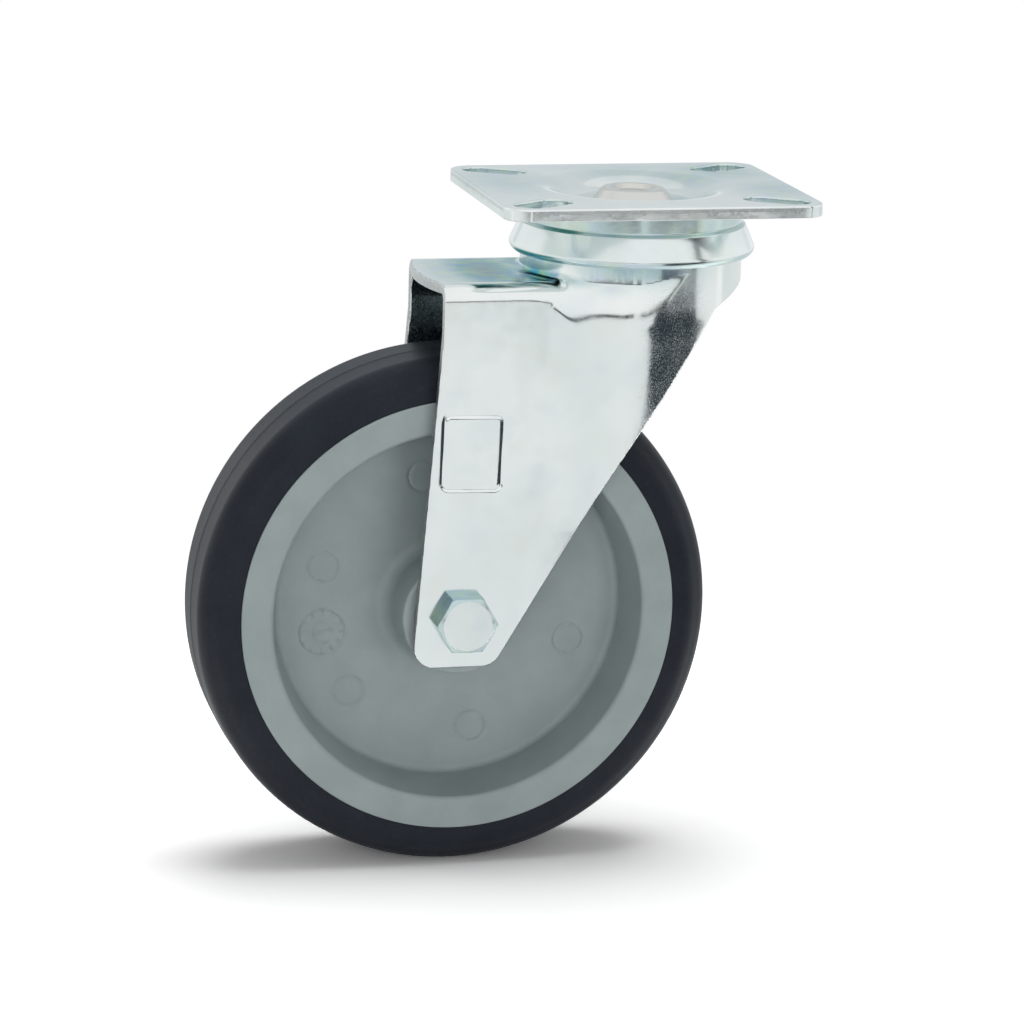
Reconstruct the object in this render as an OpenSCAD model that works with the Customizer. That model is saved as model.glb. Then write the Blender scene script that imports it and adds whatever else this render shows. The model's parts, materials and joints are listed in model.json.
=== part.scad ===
// Swivel castor with a slotted top plate and a 125 mm wheel.
// Millimetres. The origin is the centre of the plate's top face, on the swivel axis.
// +Z points up, the wheel trails towards -X and the axle runs along Y.

/* [Top plate] */
// Length of the plate along the direction of travel
plate_length = 77; // [70:0.5:95]
// Width of the plate across the fork
plate_width = 67; // [61:0.5:85]
// Thickness of the plate's sheet
plate_thickness = 3; // [2.7:0.1:3.3]
// Radius of the plate's four corners
plate_corner_radius = 6; // [3:0.5:8]
// Distance from a slot's middle to the end of the plate
slot_end_margin = 10.2; // [9.2:0.1:11.2]
// Distance from a slot's middle to the side of the plate
slot_side_margin = 8.7; // [8:0.1:9.5]
// Width of each slot
slot_width = 8.5; // [6.5:0.1:9]
// Distance between the centres of a slot's two round ends
slot_travel = 7.6; // [4:0.2:8]
// Angle between a slot and the plate's length
slot_angle = 34; // [28:1:40]
// Width of the dish's slope, seen from above
dish_slope_width = 5.5; // [5:0.1:6]
// Depth of the dish
dish_depth = 3.5; // [3.1:0.1:3.8]

/* [King rivet] */
// Radius of the rivet's shank
rivet_radius = 6; // [5.4:0.1:6.6]
// How far the rivet's upset end reaches past the shank
rivet_overhang = 3.6; // [3.2:0.1:4]
// How far the upset end stays under the plate's top face
rivet_recess = 0.4; // [0.2:0.1:0.8]
// Radius of the crater in the upset end
crater_radius = 5.6; // [4.8:0.1:6.2]
// Depth of the crater
crater_depth = 1.2; // [0.5:0.1:2]
// Height of the rivet's lower head
rivet_head_height = 4; // [3:0.1:5]
// Space between the rivet's lower head and the cup round it
rivet_head_play = 1.4; // [1:0.1:1.8]

/* [Swivel bearing] */
// Radius of an upper ball
upper_ball_radius = 2.5; // [2.3:0.05:2.7]
// Number of upper balls
upper_ball_count = 26; // [24:1:28]
// Radius of a lower ball
lower_ball_radius = 2; // [1.9:0.05:2.2]
// Number of lower balls
lower_ball_count = 22; // [21:1:24]
// Space between two balls of a row
ball_gap = 0.35; // [0.2:0.05:0.5]
// Clearance between a ball and its races
race_clearance = 0.1; // [0.05:0.01:0.12]
// Depth of the ball grooves in the crown and the cup
groove_depth = 0.6; // [0.4:0.05:0.7]

/* [Race skirt] */
// Thickness of the skirt's sheet
skirt_thickness = 1.2; // [1.1:0.05:1.3]
// Width of the plate's flat ring between the dish and the outside of the band
band_land = 5.5; // [5:0.1:6]
// How far the band reaches under the centres of the upper balls
band_reach = 0.8; // [0.6:0.1:1.2]
// How far the bead stands out from the band
bead_rise = 1.2; // [1.1:0.05:1.3]
// How far the lip stands out from the band
lip_flare = 3.8; // [3.5:0.1:4.4]
// Distance from the band's lower end down to the lip's widest line
lip_drop = 6.6; // [6:0.1:7.2]
// Height of the curl under the lip's widest line
lip_curl = 1.1; // [0.9:0.1:1.3]

/* [Lower cup] */
// Thickness of the lower cup's sheet
cup_thickness = 2; // [1.8:0.1:2.2]
// Space between the lower balls and the cup's raised centre
cup_neck_play = 1.2; // [1:0.05:1.4]
// Space between the lower balls and the cup's upturned rim
cup_rim_play = 0.8; // [0.6:0.05:1]
// Height of the cup's upturned rim
cup_rim_height = 2; // [1.5:0.1:2.3]

/* [Fork] */
// Thickness of the fork's sheet
fork_thickness = 2.5; // [2.3:0.1:2.7]
// Space between the hub's end and the leg
side_gap = 1; // [0.8:0.1:2]
// Depth of the bridge's top face under the plate
bridge_depth = 20; // [18:0.1:22]
// Outside radius of the bends between bridge and legs
bend_radius = 4; // [3.5:0.1:4.5]
// How much larger the crown's radius is than the band's
crown_play = 0.5; // [0.4:0.05:0.7]
// Radius of the crown's upper edge
crown_edge_radius = 3; // [2.8:0.1:3.3]
// Space between the cup's raised centre and the hole in the crown
crown_hole_play = 1; // [0.8:0.05:1.1]
// How far the crown's crease lies over the bridge's top face
crease_rise = 1; // [0.8:0.1:1.5]
// How far the shoulder stands out from the crown's wall
shoulder_flare = 1.9; // [1.6:0.1:2.2]
// Distance from the crease down to the shoulder's widest line
shoulder_drop = 8; // [7:0.5:9]
// Depth at which the bulge of the legs has died out
bulge_end_depth = 80; // [72:1:90]
// Distance from the axle's line to the open end of the bridge
bridge_lead = 6.2; // [5:0.2:8]
// Distance from the axle to the leg's front edge at the bottom
leg_front = 12.3; // [11.5:0.1:14]
// Distance from the axle to the leg's lower end
leg_end = 11.4; // [10.4:0.1:13]
// Radius of the two corners at a leg's lower end
leg_corner_radius = 5; // [4:0.1:6]
// Distance from the axle to the leg's slanting back edge
leg_back = 12.3; // [11.5:0.1:13]
// Slope of the leg's back edge
leg_back_angle = 59; // [57:0.5:61]
// Distance from the crease down to the crown's lower edge at the very back
apron_drop = 2.2; // [1.9:0.1:2.6]
// Slope of the crown's lower edge at the back
apron_angle = 24; // [20:1:28]

/* [Wheel] */
// Distance from the swivel axis back to the axle
trail = 44; // [42:0.1:48]
// Radius over the tread
wheel_radius = 62.5; // [57:0.1:70]
// Space between the bridge and the tread
wheel_gap = 16; // [14:0.1:20]
// Width of the tyre and the rim
tyre_width = 32; // [29:0.1:36]
// Height of the tyre over the rim's side
tyre_height = 9.7; // [9:0.1:10.6]
// Depth of the tyre's seat under the rim's edge
tyre_lock_depth = 2.8; // [2.4:0.1:3.2]
// Distance from the rim's side face in to the tyre's seat
tyre_lock_width = 3; // [2.6:0.1:3.4]
// Radius of the tyre's shoulders
tyre_shoulder_radius = 5; // [4.5:0.1:5.6]
// How far the tyre's side leans in between rim and shoulder
tyre_side_lean = 0.9; // [0.4:0.1:1.5]
// Width of the rim's side face
rim_face_width = 7.6; // [6.8:0.1:8.4]
// How far the rim's inside slopes in between its side face and the web
recess_draft = 2.8; // [2.2:0.1:3.2]
// Thickness of the web
web_thickness = 5; // [4:0.1:7]
// Thickness of the hub's wall round a bearing
hub_wall = 3; // [2.6:0.1:4]
// How far the hub stands out past the rim
hub_proud = 0.7; // [0.6:0.1:0.9]
// Distance from the web's outside in to the circle of ejector marks
mark_inset = 10.2; // [8:0.1:12]
// Radius of an ejector mark
mark_radius = 3.7; // [2.5:0.1:4.5]
// Height of an ejector mark's face under the web's face
mark_depth = 0.15; // [0.1:0.05:0.3]

/* [Axle] */
// Clearance between the bolt and the bore of the bearings
bolt_clearance = 0.05; // [0.02:0.01:0.08]
// Width across the flats of the bolt's head and nut
hex_across_flats = 13; // [12:0.1:14]
// Height of the bolt's head
bolt_head_height = 5.3; // [4.8:0.1:6]
// How far the bolt shows past the nut
bolt_stub = 1.6; // [1.2:0.2:6]
// Height of the nut over its collar
nut_height = 8; // [7.4:0.1:8.8]
// Height of the nut's hexagon
nut_hex_height = 6; // [5.5:0.1:6.5]
// How much larger the radius of the hole in each leg is than the bolt's
axle_hole_play = 0.25; // [0.15:0.05:0.4]

/* [Wheel bearings] */
// Radius of the bearings' bore
bearing_bore_radius = 4; // [3.8:0.05:4.3]
// Outer radius of the bearings
bearing_outer_radius = 11; // [10:0.05:12]
// Width of the bearings
bearing_width = 7; // [6.4:0.05:7.6]
// Diameter of a bearing ball as a share of the bearing's width
bearing_ball_share = 0.566; // [0.53:0.002:0.57]
// Number of balls in a bearing
bearing_ball_count = 7; // [5:1:7]
// Clearance between a bearing ball and its grooves
bearing_clearance = 0.06; // [0.04:0.01:0.08]
// How far the inner ring's land lies inside the circle of the balls
inner_land_drop = 1.45; // [1.3:0.05:1.6]
// How far the outer ring's land lies outside the circle of the balls
outer_land_rise = 2; // [1.8:0.05:2.04]
// Thickness of a shield
shield_thickness = 0.3; // [0.2:0.05:0.35]
// Space between a shield and the inner ring
shield_play = 0.35; // [0.3:0.05:0.45]
// How far the shields lie inside the bearing's faces
shield_recess = 0.2; // [0.1:0.05:0.3]
// Space between the cage and a shield
cage_play = 0.35; // [0.2:0.05:0.45]
// How far the bearings lie inside the ends of the hub
bearing_recess = 0.7; // [0.5:0.1:1]
// Space between the centre spacer and the passage through the hub
passage_play = 2.4; // [2:0.1:2.8]

/* [Hidden] */
$fn = 96;

near = -1;
far = 1;
fit = 0.05;
overrun = 1;

// Wheel and axle, from the tyre's width outwards
rim_radius = wheel_radius - tyre_height;
tyre_seat_radius = rim_radius - tyre_lock_depth;
rim_half = tyre_width / 2;
tyre_seat_half_width = rim_half - tyre_lock_width;
rim_lip_radius = rim_radius - rim_face_width;
web_radius = rim_lip_radius - recess_draft;
mark_circle = web_radius - mark_inset;
hub_width = tyre_width + 2 * hub_proud;
hub_radius = bearing_outer_radius + hub_wall;
bolt_radius = bearing_bore_radius - bolt_clearance;
axle_hole_radius = bolt_radius + axle_hole_play;
bearing_outer_face = hub_width / 2 - bearing_recess;
bearing_inner_face = bearing_outer_face - bearing_width;
bearing_middle = bearing_outer_face - bearing_width / 2;
bearing_ball_circle = (bearing_bore_radius + bearing_outer_radius) / 2;
bearing_ball_radius = bearing_width * bearing_ball_share / 2;
inner_land_radius = bearing_ball_circle - inner_land_drop;
outer_land_radius = bearing_ball_circle + outer_land_rise;
shield_hole_radius = inner_land_radius + shield_play;
shield_outer_face = bearing_width / 2 - shield_recess;
shield_inner_face = shield_outer_face - shield_thickness;
spacer_radius = inner_land_radius - fit;
fork_inside = hub_width / 2 + side_gap;
fork_outside = fork_inside + fork_thickness;
fork_width = 2 * fork_outside;
axle_depth = bridge_depth + fork_thickness + wheel_gap + wheel_radius;

// Head, from the two full rows of balls outwards
function row_circle(radius, count) = (radius + ball_gap / 2) / sin(180 / count);
upper_reach = upper_ball_radius + race_clearance;
lower_reach = lower_ball_radius + race_clearance;
upper_circle = row_circle(upper_ball_radius, upper_ball_count);
lower_circle = row_circle(lower_ball_radius, lower_ball_count);
band_radius = upper_circle + upper_reach + skirt_thickness;
crown_radius = band_radius + crown_play;
shoulder_radius = crown_radius + shoulder_flare;
crease_depth = bridge_depth - crease_rise;
shoulder_depth = crease_depth + shoulder_drop;
dish_radius = band_radius - band_land;
dish_floor_radius = dish_radius - dish_slope_width;
dish_floor = -dish_depth;
dish_underside = dish_floor - plate_thickness;
cup_neck_radius = lower_circle - lower_reach - cup_neck_play;
cup_rim_radius = lower_circle + lower_reach + cup_rim_play;
crown_hole_radius = cup_neck_radius + crown_hole_play;
rivet_top_radius = rivet_radius + rivet_overhang;
rivet_head_radius = cup_neck_radius - cup_thickness - rivet_head_play;

// Heights of the balls, from the slope of the skirt down through the crown
slope = unit([dish_slope_width, dish_depth]);
under_edge = [dish_radius + plate_thickness * (1 - slope[0]) / slope[1], -plate_thickness];
upper_height = -plate_thickness
    - (skirt_thickness + upper_reach - (upper_circle - under_edge[0]) * slope[1]) / slope[0];
crown_top = upper_height - upper_reach + groove_depth;
lower_height = crown_top - fork_thickness + groove_depth - lower_reach;
cup_top = lower_height - lower_reach + groove_depth;
band_depth = band_reach - upper_height;
lip_depth = band_depth + lip_drop;

// Directions, offsets and rounded corners in a plane
function unit(v) = v / norm(v);
function left_of(a, b) = let (d = unit(b - a)) [-d[1], d[0]];
function reversed(p) = [for (i = [len(p) - 1 : -1 : 0]) p[i]];
function moved_corner(a, b, c, t) =
    let (n = left_of(a, b), m = unit(n + left_of(b, c)))
    b + m * t / (m * n);
function moved_line(p, t) =
    let (last = len(p) - 1)
    [for (i = [0 : last])
        i == 0 ? p[0] + left_of(p[0], p[1]) * t :
        i == last ? p[last] + left_of(p[last - 1], p[last]) * t :
        moved_corner(p[i - 1], p[i], p[i + 1], t)];
function sheet(line, t) = concat(line, reversed(moved_line(line, t)));

// One corner of an outline, as an arc of radius r that touches both sides
function corner(a, b, c, r, steps) =
    let (u = unit(a - b),
         v = unit(c - b),
         half = acos(u * v) / 2,
         centre = b + unit(u + v) * r / sin(half),
         first = b + u * r / tan(half) - centre,
         last = b + v * r / tan(half) - centre,
         start = atan2(first[1], first[0]),
         turn = atan2(last[1], last[0]) - start,
         sweep = turn > 180 ? turn - 360 : turn < -180 ? turn + 360 : turn)
    [for (i = [0 : steps])
        centre + r * [cos(start + sweep * i / steps), sin(start + sweep * i / steps)]];
function point(p) = [p[0], p[1]];
function rounded(path, closed = false, steps = 6) =
    let (count = len(path))
    [for (i = [0 : count - 1])
        each (path[i][2] == 0 || (!closed && (i == 0 || i == count - 1))
            ? [point(path[i])]
            : corner(point(path[(i + count - 1) % count]), point(path[i]),
                     point(path[(i + 1) % count]), path[i][2], steps))];
function mirrored_half(half) = concat(half, [for (p = reversed(half)) [p[0], -p[1]]]);

// Profiles given as radius and distance along the axle turn about the axle
module on_axle() {
    translate([-trail, 0, -axle_depth])
    rotate([-90, 0, 0])
    children();
}

module turned(profile) {
    rotate_extrude()
    polygon(profile);
}

module ring(outer, inner, low, high) {
    translate([0, 0, low])
    difference() {
        cylinder(r = outer, h = high - low);
        translate([0, 0, -overrun])
        cylinder(r = inner, h = high - low + 2 * overrun);
    }
}

module groove(circle_radius, ball_radius, height) {
    translate([0, 0, height])
    rotate_extrude()
    translate([circle_radius, 0])
    circle(r = ball_radius, $fn = 48);
}

module ball_ring(circle_radius, ball_radius, count, height) {
    for (i = [0 : count - 1])
        rotate([0, 0, 360 * i / count])
        translate([circle_radius, 0, height])
        sphere(r = ball_radius, $fn = 32);
}

// Top plate
module rounded_sheet(length, width, radius, thickness) {
    translate([0, 0, -thickness])
    linear_extrude(thickness) {
        square([length - 2 * radius, width], center = true);
        square([length, width - 2 * radius], center = true);
        for (x = [-1, 1], y = [-1, 1])
            translate([x * (length / 2 - radius), y * (width / 2 - radius)])
            circle(r = radius);
    }
}

module slot() {
    half = slot_travel / 2;
    translate([0, 0, -plate_thickness - overrun])
    linear_extrude(plate_thickness + 2 * overrun) {
        square([slot_travel, slot_width], center = true);
        for (end = [-half, half])
            translate([end, 0])
            circle(d = slot_width);
    }
}

slot_x = plate_length / 2 - slot_end_margin;
slot_y = plate_width / 2 - slot_side_margin;
dish_edge_radius = plate_thickness + 1.2;
dish_floor_edge_radius = plate_thickness / 2;
dish_seam = dish_radius + plate_thickness;
dish_line = rounded([
    [dish_seam, 0, 0],
    [dish_radius, 0, dish_edge_radius],
    [dish_floor_radius, dish_floor, dish_floor_edge_radius],
    [rivet_radius + fit, dish_floor, 0]]);

module top_plate() {
    color("gainsboro")
    difference() {
        union() {
            difference() {
                rounded_sheet(plate_length, plate_width, plate_corner_radius, plate_thickness);
                translate([0, 0, -plate_thickness - overrun])
                cylinder(r = dish_seam, h = plate_thickness + 2 * overrun);
            }
            turned(sheet(dish_line, plate_thickness));
        }
        for (x = [-1, 1], y = [-1, 1])
            translate([x * slot_x, y * slot_y, 0])
            rotate([0, 0, x * y * slot_angle])
            slot();
    }
}

// King rivet, upset in the dish and headed inside the lower cup
module king_rivet() {
    top = -rivet_recess;
    seat = dish_underside - cup_thickness;
    land = (rivet_top_radius + crater_radius) / 2;
    color("silver")
    turned(rounded([
        [0, top - crater_depth, 0],
        [crater_radius - 1, top - crater_depth, 0],
        [crater_radius, top, 0.3],
        [land - 0.2, top, 0.8],
        [rivet_top_radius, dish_floor + 0.4, 0],
        [rivet_top_radius, dish_floor, 0],
        [rivet_radius, dish_floor, 0],
        [rivet_radius, seat, 0],
        [rivet_head_radius, seat, 0],
        [rivet_head_radius, seat - rivet_head_height, rivet_head_height * 0.6],
        [0, seat - rivet_head_height, 0]]));
}

// Race skirt: it hugs the underside of the dish and the plate, then flares out
skirt_inner_reach = norm([dish_slope_width, dish_depth]) * 2 / 3;
bead_drop = bead_rise / 2;
skirt_line = rounded([
    [under_edge[0] - skirt_inner_reach * slope[0], under_edge[1] - skirt_inner_reach * slope[1], 0],
    [under_edge[0], under_edge[1], dish_edge_radius - plate_thickness],
    [band_radius, -plate_thickness, skirt_thickness + 0.3],
    [band_radius, -band_depth, 0.6],
    [band_radius + bead_rise, -band_depth - bead_drop, 0.5],
    [band_radius + lip_flare, -lip_depth, skirt_thickness + 0.4],
    [band_radius + lip_flare - lip_curl - 0.2, -lip_depth - lip_curl, 0]]);

module race_skirt() {
    color("lightgray")
    turned(sheet(skirt_line, -skirt_thickness));
}

// The two rows of balls
module upper_balls() {
    color("slategray")
    ball_ring(upper_circle, upper_ball_radius, upper_ball_count, upper_height);
}

module lower_balls() {
    color("slategray")
    ball_ring(lower_circle, lower_ball_radius, lower_ball_count, lower_height);
}

// Lower cup: a hat-shaped drawn cup that hangs from the plate through the crown
cup_line = rounded([
    [rivet_radius + fit, dish_underside, 0],
    [cup_neck_radius, dish_underside, cup_thickness + 0.5],
    [cup_neck_radius, cup_top, 0.8],
    [cup_rim_radius, cup_top, 0.8],
    [cup_rim_radius, cup_top + cup_rim_height, 0]]);

module lower_cup() {
    color("lightgray")
    difference() {
        turned(sheet(cup_line, -cup_thickness));
        groove(lower_circle, lower_reach, lower_height);
    }
}

// Fork
leg_overrun = 30;
bulge_lead = 0.8;
bulge_front = fork_outside + bulge_lead;
channel_tuck = 13;
channel_back = channel_tuck - bulge_front;

// Channel of the bridge and legs, open to the front
module channel(half_width, top, radius, front, back, bottom) {
    translate([back, 0, 0])
    rotate([0, -90, 0])
    linear_extrude(front + back) {
        translate([bottom, -half_width])
        square([top - radius - bottom, 2 * half_width]);
        translate([top - radius - overrun, -half_width + radius])
        square([radius + overrun, 2 * (half_width - radius)]);
        for (side = [-1, 1])
            translate([top - radius, side * (half_width - radius)])
            circle(r = radius);
    }
}

crease_radius = 2;
neck_line = rounded([
    [0, crown_top, 0],
    [crown_radius, crown_top, crown_edge_radius],
    [crown_radius, -crease_depth, crease_radius],
    [shoulder_radius, -shoulder_depth, 0]]);

module neck(inset) {
    line = inset == 0 ? neck_line : moved_line(neck_line, -inset);
    low = line[len(line) - 1];
    turned(concat(line, [[0, low[1]]]));
}

// The legs' bulge: from flat legs in front to the round neck behind
module bulge(inset, top) {
    half_width = fork_outside - inset;
    height = bulge_end_depth - shoulder_depth;
    hull() {
        translate([-bulge_front, -half_width, -bulge_end_depth])
        cube([0.5, 2 * half_width, top + bulge_end_depth]);
        translate([0, 0, -bulge_end_depth])
        cylinder(r1 = half_width, r2 = shoulder_radius - inset, h = height, $fn = 64);
    }
}

module fork_outside_shape() {
    channel(fork_outside, -bridge_depth, bend_radius, bridge_reach + leg_overrun,
            channel_back, -axle_depth - leg_overrun);
    neck(0);
    bulge(0, -shoulder_depth);
}

module fork_inside_shape() {
    channel(fork_inside, -bridge_depth - fork_thickness, bend_radius - fork_thickness,
            bridge_reach + 2 * leg_overrun, channel_back + 2 * overrun,
            -axle_depth - 2 * leg_overrun);
    neck(fork_thickness);
    bulge(fork_thickness, -shoulder_depth);
}

// Side view of the fork: x along the plate, y up
bridge_reach = trail + bridge_lead;
leg_foot = -axle_depth - leg_end;
back_foot = [-trail + (leg_back - leg_end * cos(leg_back_angle)) / sin(leg_back_angle), leg_foot];
back_slope = [cos(leg_back_angle), sin(leg_back_angle)];
apron_slope = [cos(apron_angle), sin(apron_angle)];
apron_overrun = 4;
apron_end = [crown_radius, -crease_depth - apron_drop]
    + apron_slope * apron_overrun / apron_slope[0];
back_to_apron = apron_end - back_foot;
back_length = (back_to_apron[0] * apron_slope[1] - back_to_apron[1] * apron_slope[0])
    / (back_slope[0] * apron_slope[1] - back_slope[1] * apron_slope[0]);
back_top = back_foot + back_slope * back_length;
back_top_radius = 4;
front_bend_drop = 12;
front_bend_radius = 25;
fork_outline = rounded([
    [-bridge_reach, overrun, 0],
    [-bridge_reach, -bridge_depth - front_bend_drop, front_bend_radius],
    [-trail - leg_front, leg_foot, leg_corner_radius],
    [back_foot[0], back_foot[1], leg_corner_radius],
    [back_top[0], back_top[1], back_top_radius],
    [apron_end[0], apron_end[1], 0],
    [apron_end[0], overrun, 0]], true, 8);

module fork() {
    color("whitesmoke")
    difference() {
        intersection() {
            difference() {
                fork_outside_shape();
                fork_inside_shape();
            }
            translate([0, fork_width, 0])
            rotate([90, 0, 0])
            linear_extrude(2 * fork_width)
            polygon(fork_outline);
        }
        translate([0, 0, crown_top - fork_thickness - overrun])
        cylinder(r = crown_hole_radius, h = fork_thickness + 2 * overrun);
        groove(upper_circle, upper_reach, upper_height);
        groove(lower_circle, lower_reach, lower_height);
        on_axle()
        translate([0, 0, -fork_width])
        cylinder(r = axle_hole_radius, h = 2 * fork_width);
    }
}

// Axle bolt, with its head on the near leg
hex_radius = hex_across_flats / 2 / cos(30);
chamfer_slope = tan(30);

module hexagon(height) {
    cylinder(r = hex_radius, h = height, $fn = 6);
}

module head_chamfer(height) {
    rise = (hex_radius - hex_across_flats / 2 * 0.94) * chamfer_slope;
    cylinder(r = hex_radius + overrun, h = height - rise - overrun * chamfer_slope);
    translate([0, 0, height - rise - overrun * chamfer_slope])
    cylinder(r1 = hex_radius + overrun, r2 = hex_across_flats / 2 * 0.94,
             h = rise + overrun * chamfer_slope);
}

bolt_length = fork_width + nut_height + bolt_stub;

module axle_bolt() {
    tip_chamfer = 0.8;
    color("gainsboro")
    on_axle() {
        translate([0, 0, -fork_outside])
        mirror([0, 0, 1])
        intersection() {
            hexagon(bolt_head_height);
            head_chamfer(bolt_head_height);
        }
        translate([0, 0, -fork_outside - overrun])
        cylinder(r = bolt_radius, h = bolt_length + overrun - tip_chamfer);
        translate([0, 0, -fork_outside + bolt_length - tip_chamfer])
        cylinder(r1 = bolt_radius, r2 = bolt_radius - tip_chamfer, h = tip_chamfer);
    }
}

// Lock nut on the far leg, with a collar that holds the nylon ring
collar_radius = hex_across_flats / 2 - 0.7;
insert_radius = (collar_radius + bolt_radius) / 2;
insert_height = 2;
insert_top = nut_height - 0.5;

module lock_nut() {
    color("gainsboro")
    on_axle()
    translate([0, 0, fork_outside])
    difference() {
        union() {
            intersection() {
                hexagon(nut_hex_height);
                head_chamfer(nut_hex_height);
            }
            turned(rounded([
                [0, overrun, 0],
                [collar_radius, overrun, 0],
                [collar_radius, nut_height, 1],
                [0, nut_height, 0]]));
        }
        translate([0, 0, -overrun])
        cylinder(r = bolt_radius + fit, h = nut_height + 2 * overrun);
        translate([0, 0, insert_top - insert_height])
        cylinder(r = insert_radius, h = insert_height);
    }
}

module nut_insert() {
    color("royalblue")
    on_axle()
    translate([0, 0, fork_outside])
    ring(insert_radius, bolt_radius, insert_top - insert_height, insert_top);
}

// Spacers on the axle
module side_spacer(side) {
    color("darkgray")
    on_axle()
    if (side == near)
        ring(spacer_radius, bearing_bore_radius, -fork_inside, -bearing_outer_face);
    else
        ring(spacer_radius, bearing_bore_radius, bearing_outer_face, fork_inside);
}

module near_spacer() {
    side_spacer(near);
}

module far_spacer() {
    side_spacer(far);
}

module centre_spacer() {
    color("darkgray")
    on_axle()
    ring(spacer_radius, bearing_bore_radius, -bearing_inner_face, bearing_inner_face);
}

// Wheel centre: rim, web and hub, which are one moulding on the real wheel
rim_edge_radius = 1.2;
recess_radius = 2;
web_half = web_thickness / 2;
web_outside = web_radius - recess_radius - 0.4;
hub_fillet_radius = 3.5;
web_inside = hub_radius + hub_fillet_radius + 1;
hub_passage_radius = spacer_radius + passage_play;

module wheel_rim() {
    color("slategray")
    on_axle()
    turned(mirrored_half(rounded([
        [web_outside, 0, 0],
        [web_outside, web_half, 0],
        [web_radius, web_half, recess_radius],
        [rim_lip_radius, rim_half, rim_edge_radius],
        [rim_radius, rim_half, 0.4],
        [rim_radius, tyre_seat_half_width, 0.8],
        [tyre_seat_radius, tyre_seat_half_width, 0.8],
        [tyre_seat_radius, 0, 0]])));
}

module wheel_web() {
    color("slategray")
    on_axle()
    difference() {
        ring(web_outside, web_inside, -web_half, web_half);
        for (i = [0 : 5], side = [near, far])
            rotate([0, 0, 60 * i + 18.5])
            translate([mark_circle, 0, side * (web_half + overrun - mark_depth)])
            cylinder(r = mark_radius, h = 2 * overrun, center = true);
    }
}

module wheel_hub() {
    color("slategray")
    on_axle()
    turned(mirrored_half(rounded([
        [hub_passage_radius, 0, 0],
        [hub_passage_radius, bearing_inner_face, 0],
        [bearing_outer_radius, bearing_inner_face, 0],
        [bearing_outer_radius, hub_width / 2, 0.4],
        [hub_radius, hub_width / 2, 0.8],
        [hub_radius + 0.6, web_half, hub_fillet_radius],
        [web_inside, web_half, 0],
        [web_inside, 0, 0]])));
}

// Tyre: it meets the rim along the same line
tyre_corner_radius = tyre_shoulder_radius * 1.2;
tyre_half = rounded([
    [tyre_seat_radius, 0, 0],
    [tyre_seat_radius, tyre_seat_half_width, 0.8],
    [rim_radius, tyre_seat_half_width, 0.8],
    [rim_radius, rim_half - 0.4, 0.3],
    [wheel_radius - tyre_shoulder_radius, rim_half - tyre_side_lean, tyre_corner_radius],
    [wheel_radius, rim_half - tyre_shoulder_radius, tyre_corner_radius],
    [wheel_radius, 0, 0]]);

module tyre() {
    color("darkslategray")
    on_axle()
    turned(mirrored_half(tyre_half));
}

// Wheel bearings, each built round its own middle plane
module in_bearing(side) {
    on_axle()
    translate([0, 0, side * bearing_middle])
    scale_side(side)
    children();
}

module scale_side(side) {
    if (side == near)
        mirror([0, 0, 1])
        children();
    else
        children();
}

module inner_ring(side) {
    color("silver")
    in_bearing(side)
    difference() {
        ring(inner_land_radius, bearing_bore_radius, -bearing_width / 2, bearing_width / 2);
        groove(bearing_ball_circle, bearing_ball_radius + bearing_clearance, 0);
    }
}

module outer_ring(side) {
    color("silver")
    in_bearing(side)
    difference() {
        ring(bearing_outer_radius, outer_land_radius, -bearing_width / 2, bearing_width / 2);
        groove(bearing_ball_circle, bearing_ball_radius + bearing_clearance, 0);
    }
}

module balls(side) {
    color("lightsteelblue")
    in_bearing(side)
    ball_ring(bearing_ball_circle, bearing_ball_radius, bearing_ball_count, 0);
}

// Snap-in cage with open pockets towards the outside
cage_thickness = 1.6;
cage_back = shield_inner_face - cage_play;
cage_mouth = bearing_ball_radius / 2;
pocket_clearance = 0.14;

module cage(side) {
    color("ivory")
    in_bearing(side)
    difference() {
        ring(bearing_ball_circle + cage_thickness / 2, bearing_ball_circle - cage_thickness / 2,
             -cage_back, cage_mouth);
        ball_ring(bearing_ball_circle, bearing_ball_radius + pocket_clearance,
                  bearing_ball_count, 0);
    }
}

module shield(side, face) {
    color("lightgray")
    in_bearing(side)
    if (face == near)
        ring(outer_land_radius, shield_hole_radius, -shield_outer_face, -shield_inner_face);
    else
        ring(outer_land_radius, shield_hole_radius, shield_inner_face, shield_outer_face);
}

module near_inner_ring() {
    inner_ring(near);
}

module near_outer_ring() {
    outer_ring(near);
}

module near_balls() {
    balls(near);
}

module near_cage() {
    cage(near);
}

module near_outer_shield() {
    shield(near, far);
}

module near_inner_shield() {
    shield(near, near);
}

module far_inner_ring() {
    inner_ring(far);
}

module far_outer_ring() {
    outer_ring(far);
}

module far_balls() {
    balls(far);
}

module far_cage() {
    cage(far);
}

module far_outer_shield() {
    shield(far, far);
}

module far_inner_shield() {
    shield(far, near);
}

top_plate();
king_rivet();
race_skirt();
lower_cup();
upper_balls();
lower_balls();
fork();
axle_bolt();
lock_nut();
nut_insert();
near_spacer();
far_spacer();
centre_spacer();
wheel_rim();
wheel_web();
wheel_hub();
tyre();
near_inner_ring();
near_outer_ring();
near_balls();
near_cage();
near_outer_shield();
near_inner_shield();
far_inner_ring();
far_outer_ring();
far_balls();
far_cage();
far_outer_shield();
far_inner_shield();
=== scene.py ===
# %% [markdown]
# # A swivel castor, dressed for a photograph
# This lesson takes the finished solids of a swivel castor and gives them the shapes and
# finishes that the eye expects: pressed zinc-plated steel, a moulded grey wheel centre and
# a dark soft tyre. Lengths are worked out in millimetres, as on the maker's drawing, and
# turned into metres only when a mesh is made.

# %% Load the solids
import json
import math

import bmesh
import bpy
import numpy as np
from mathutils import Matrix, Vector


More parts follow.
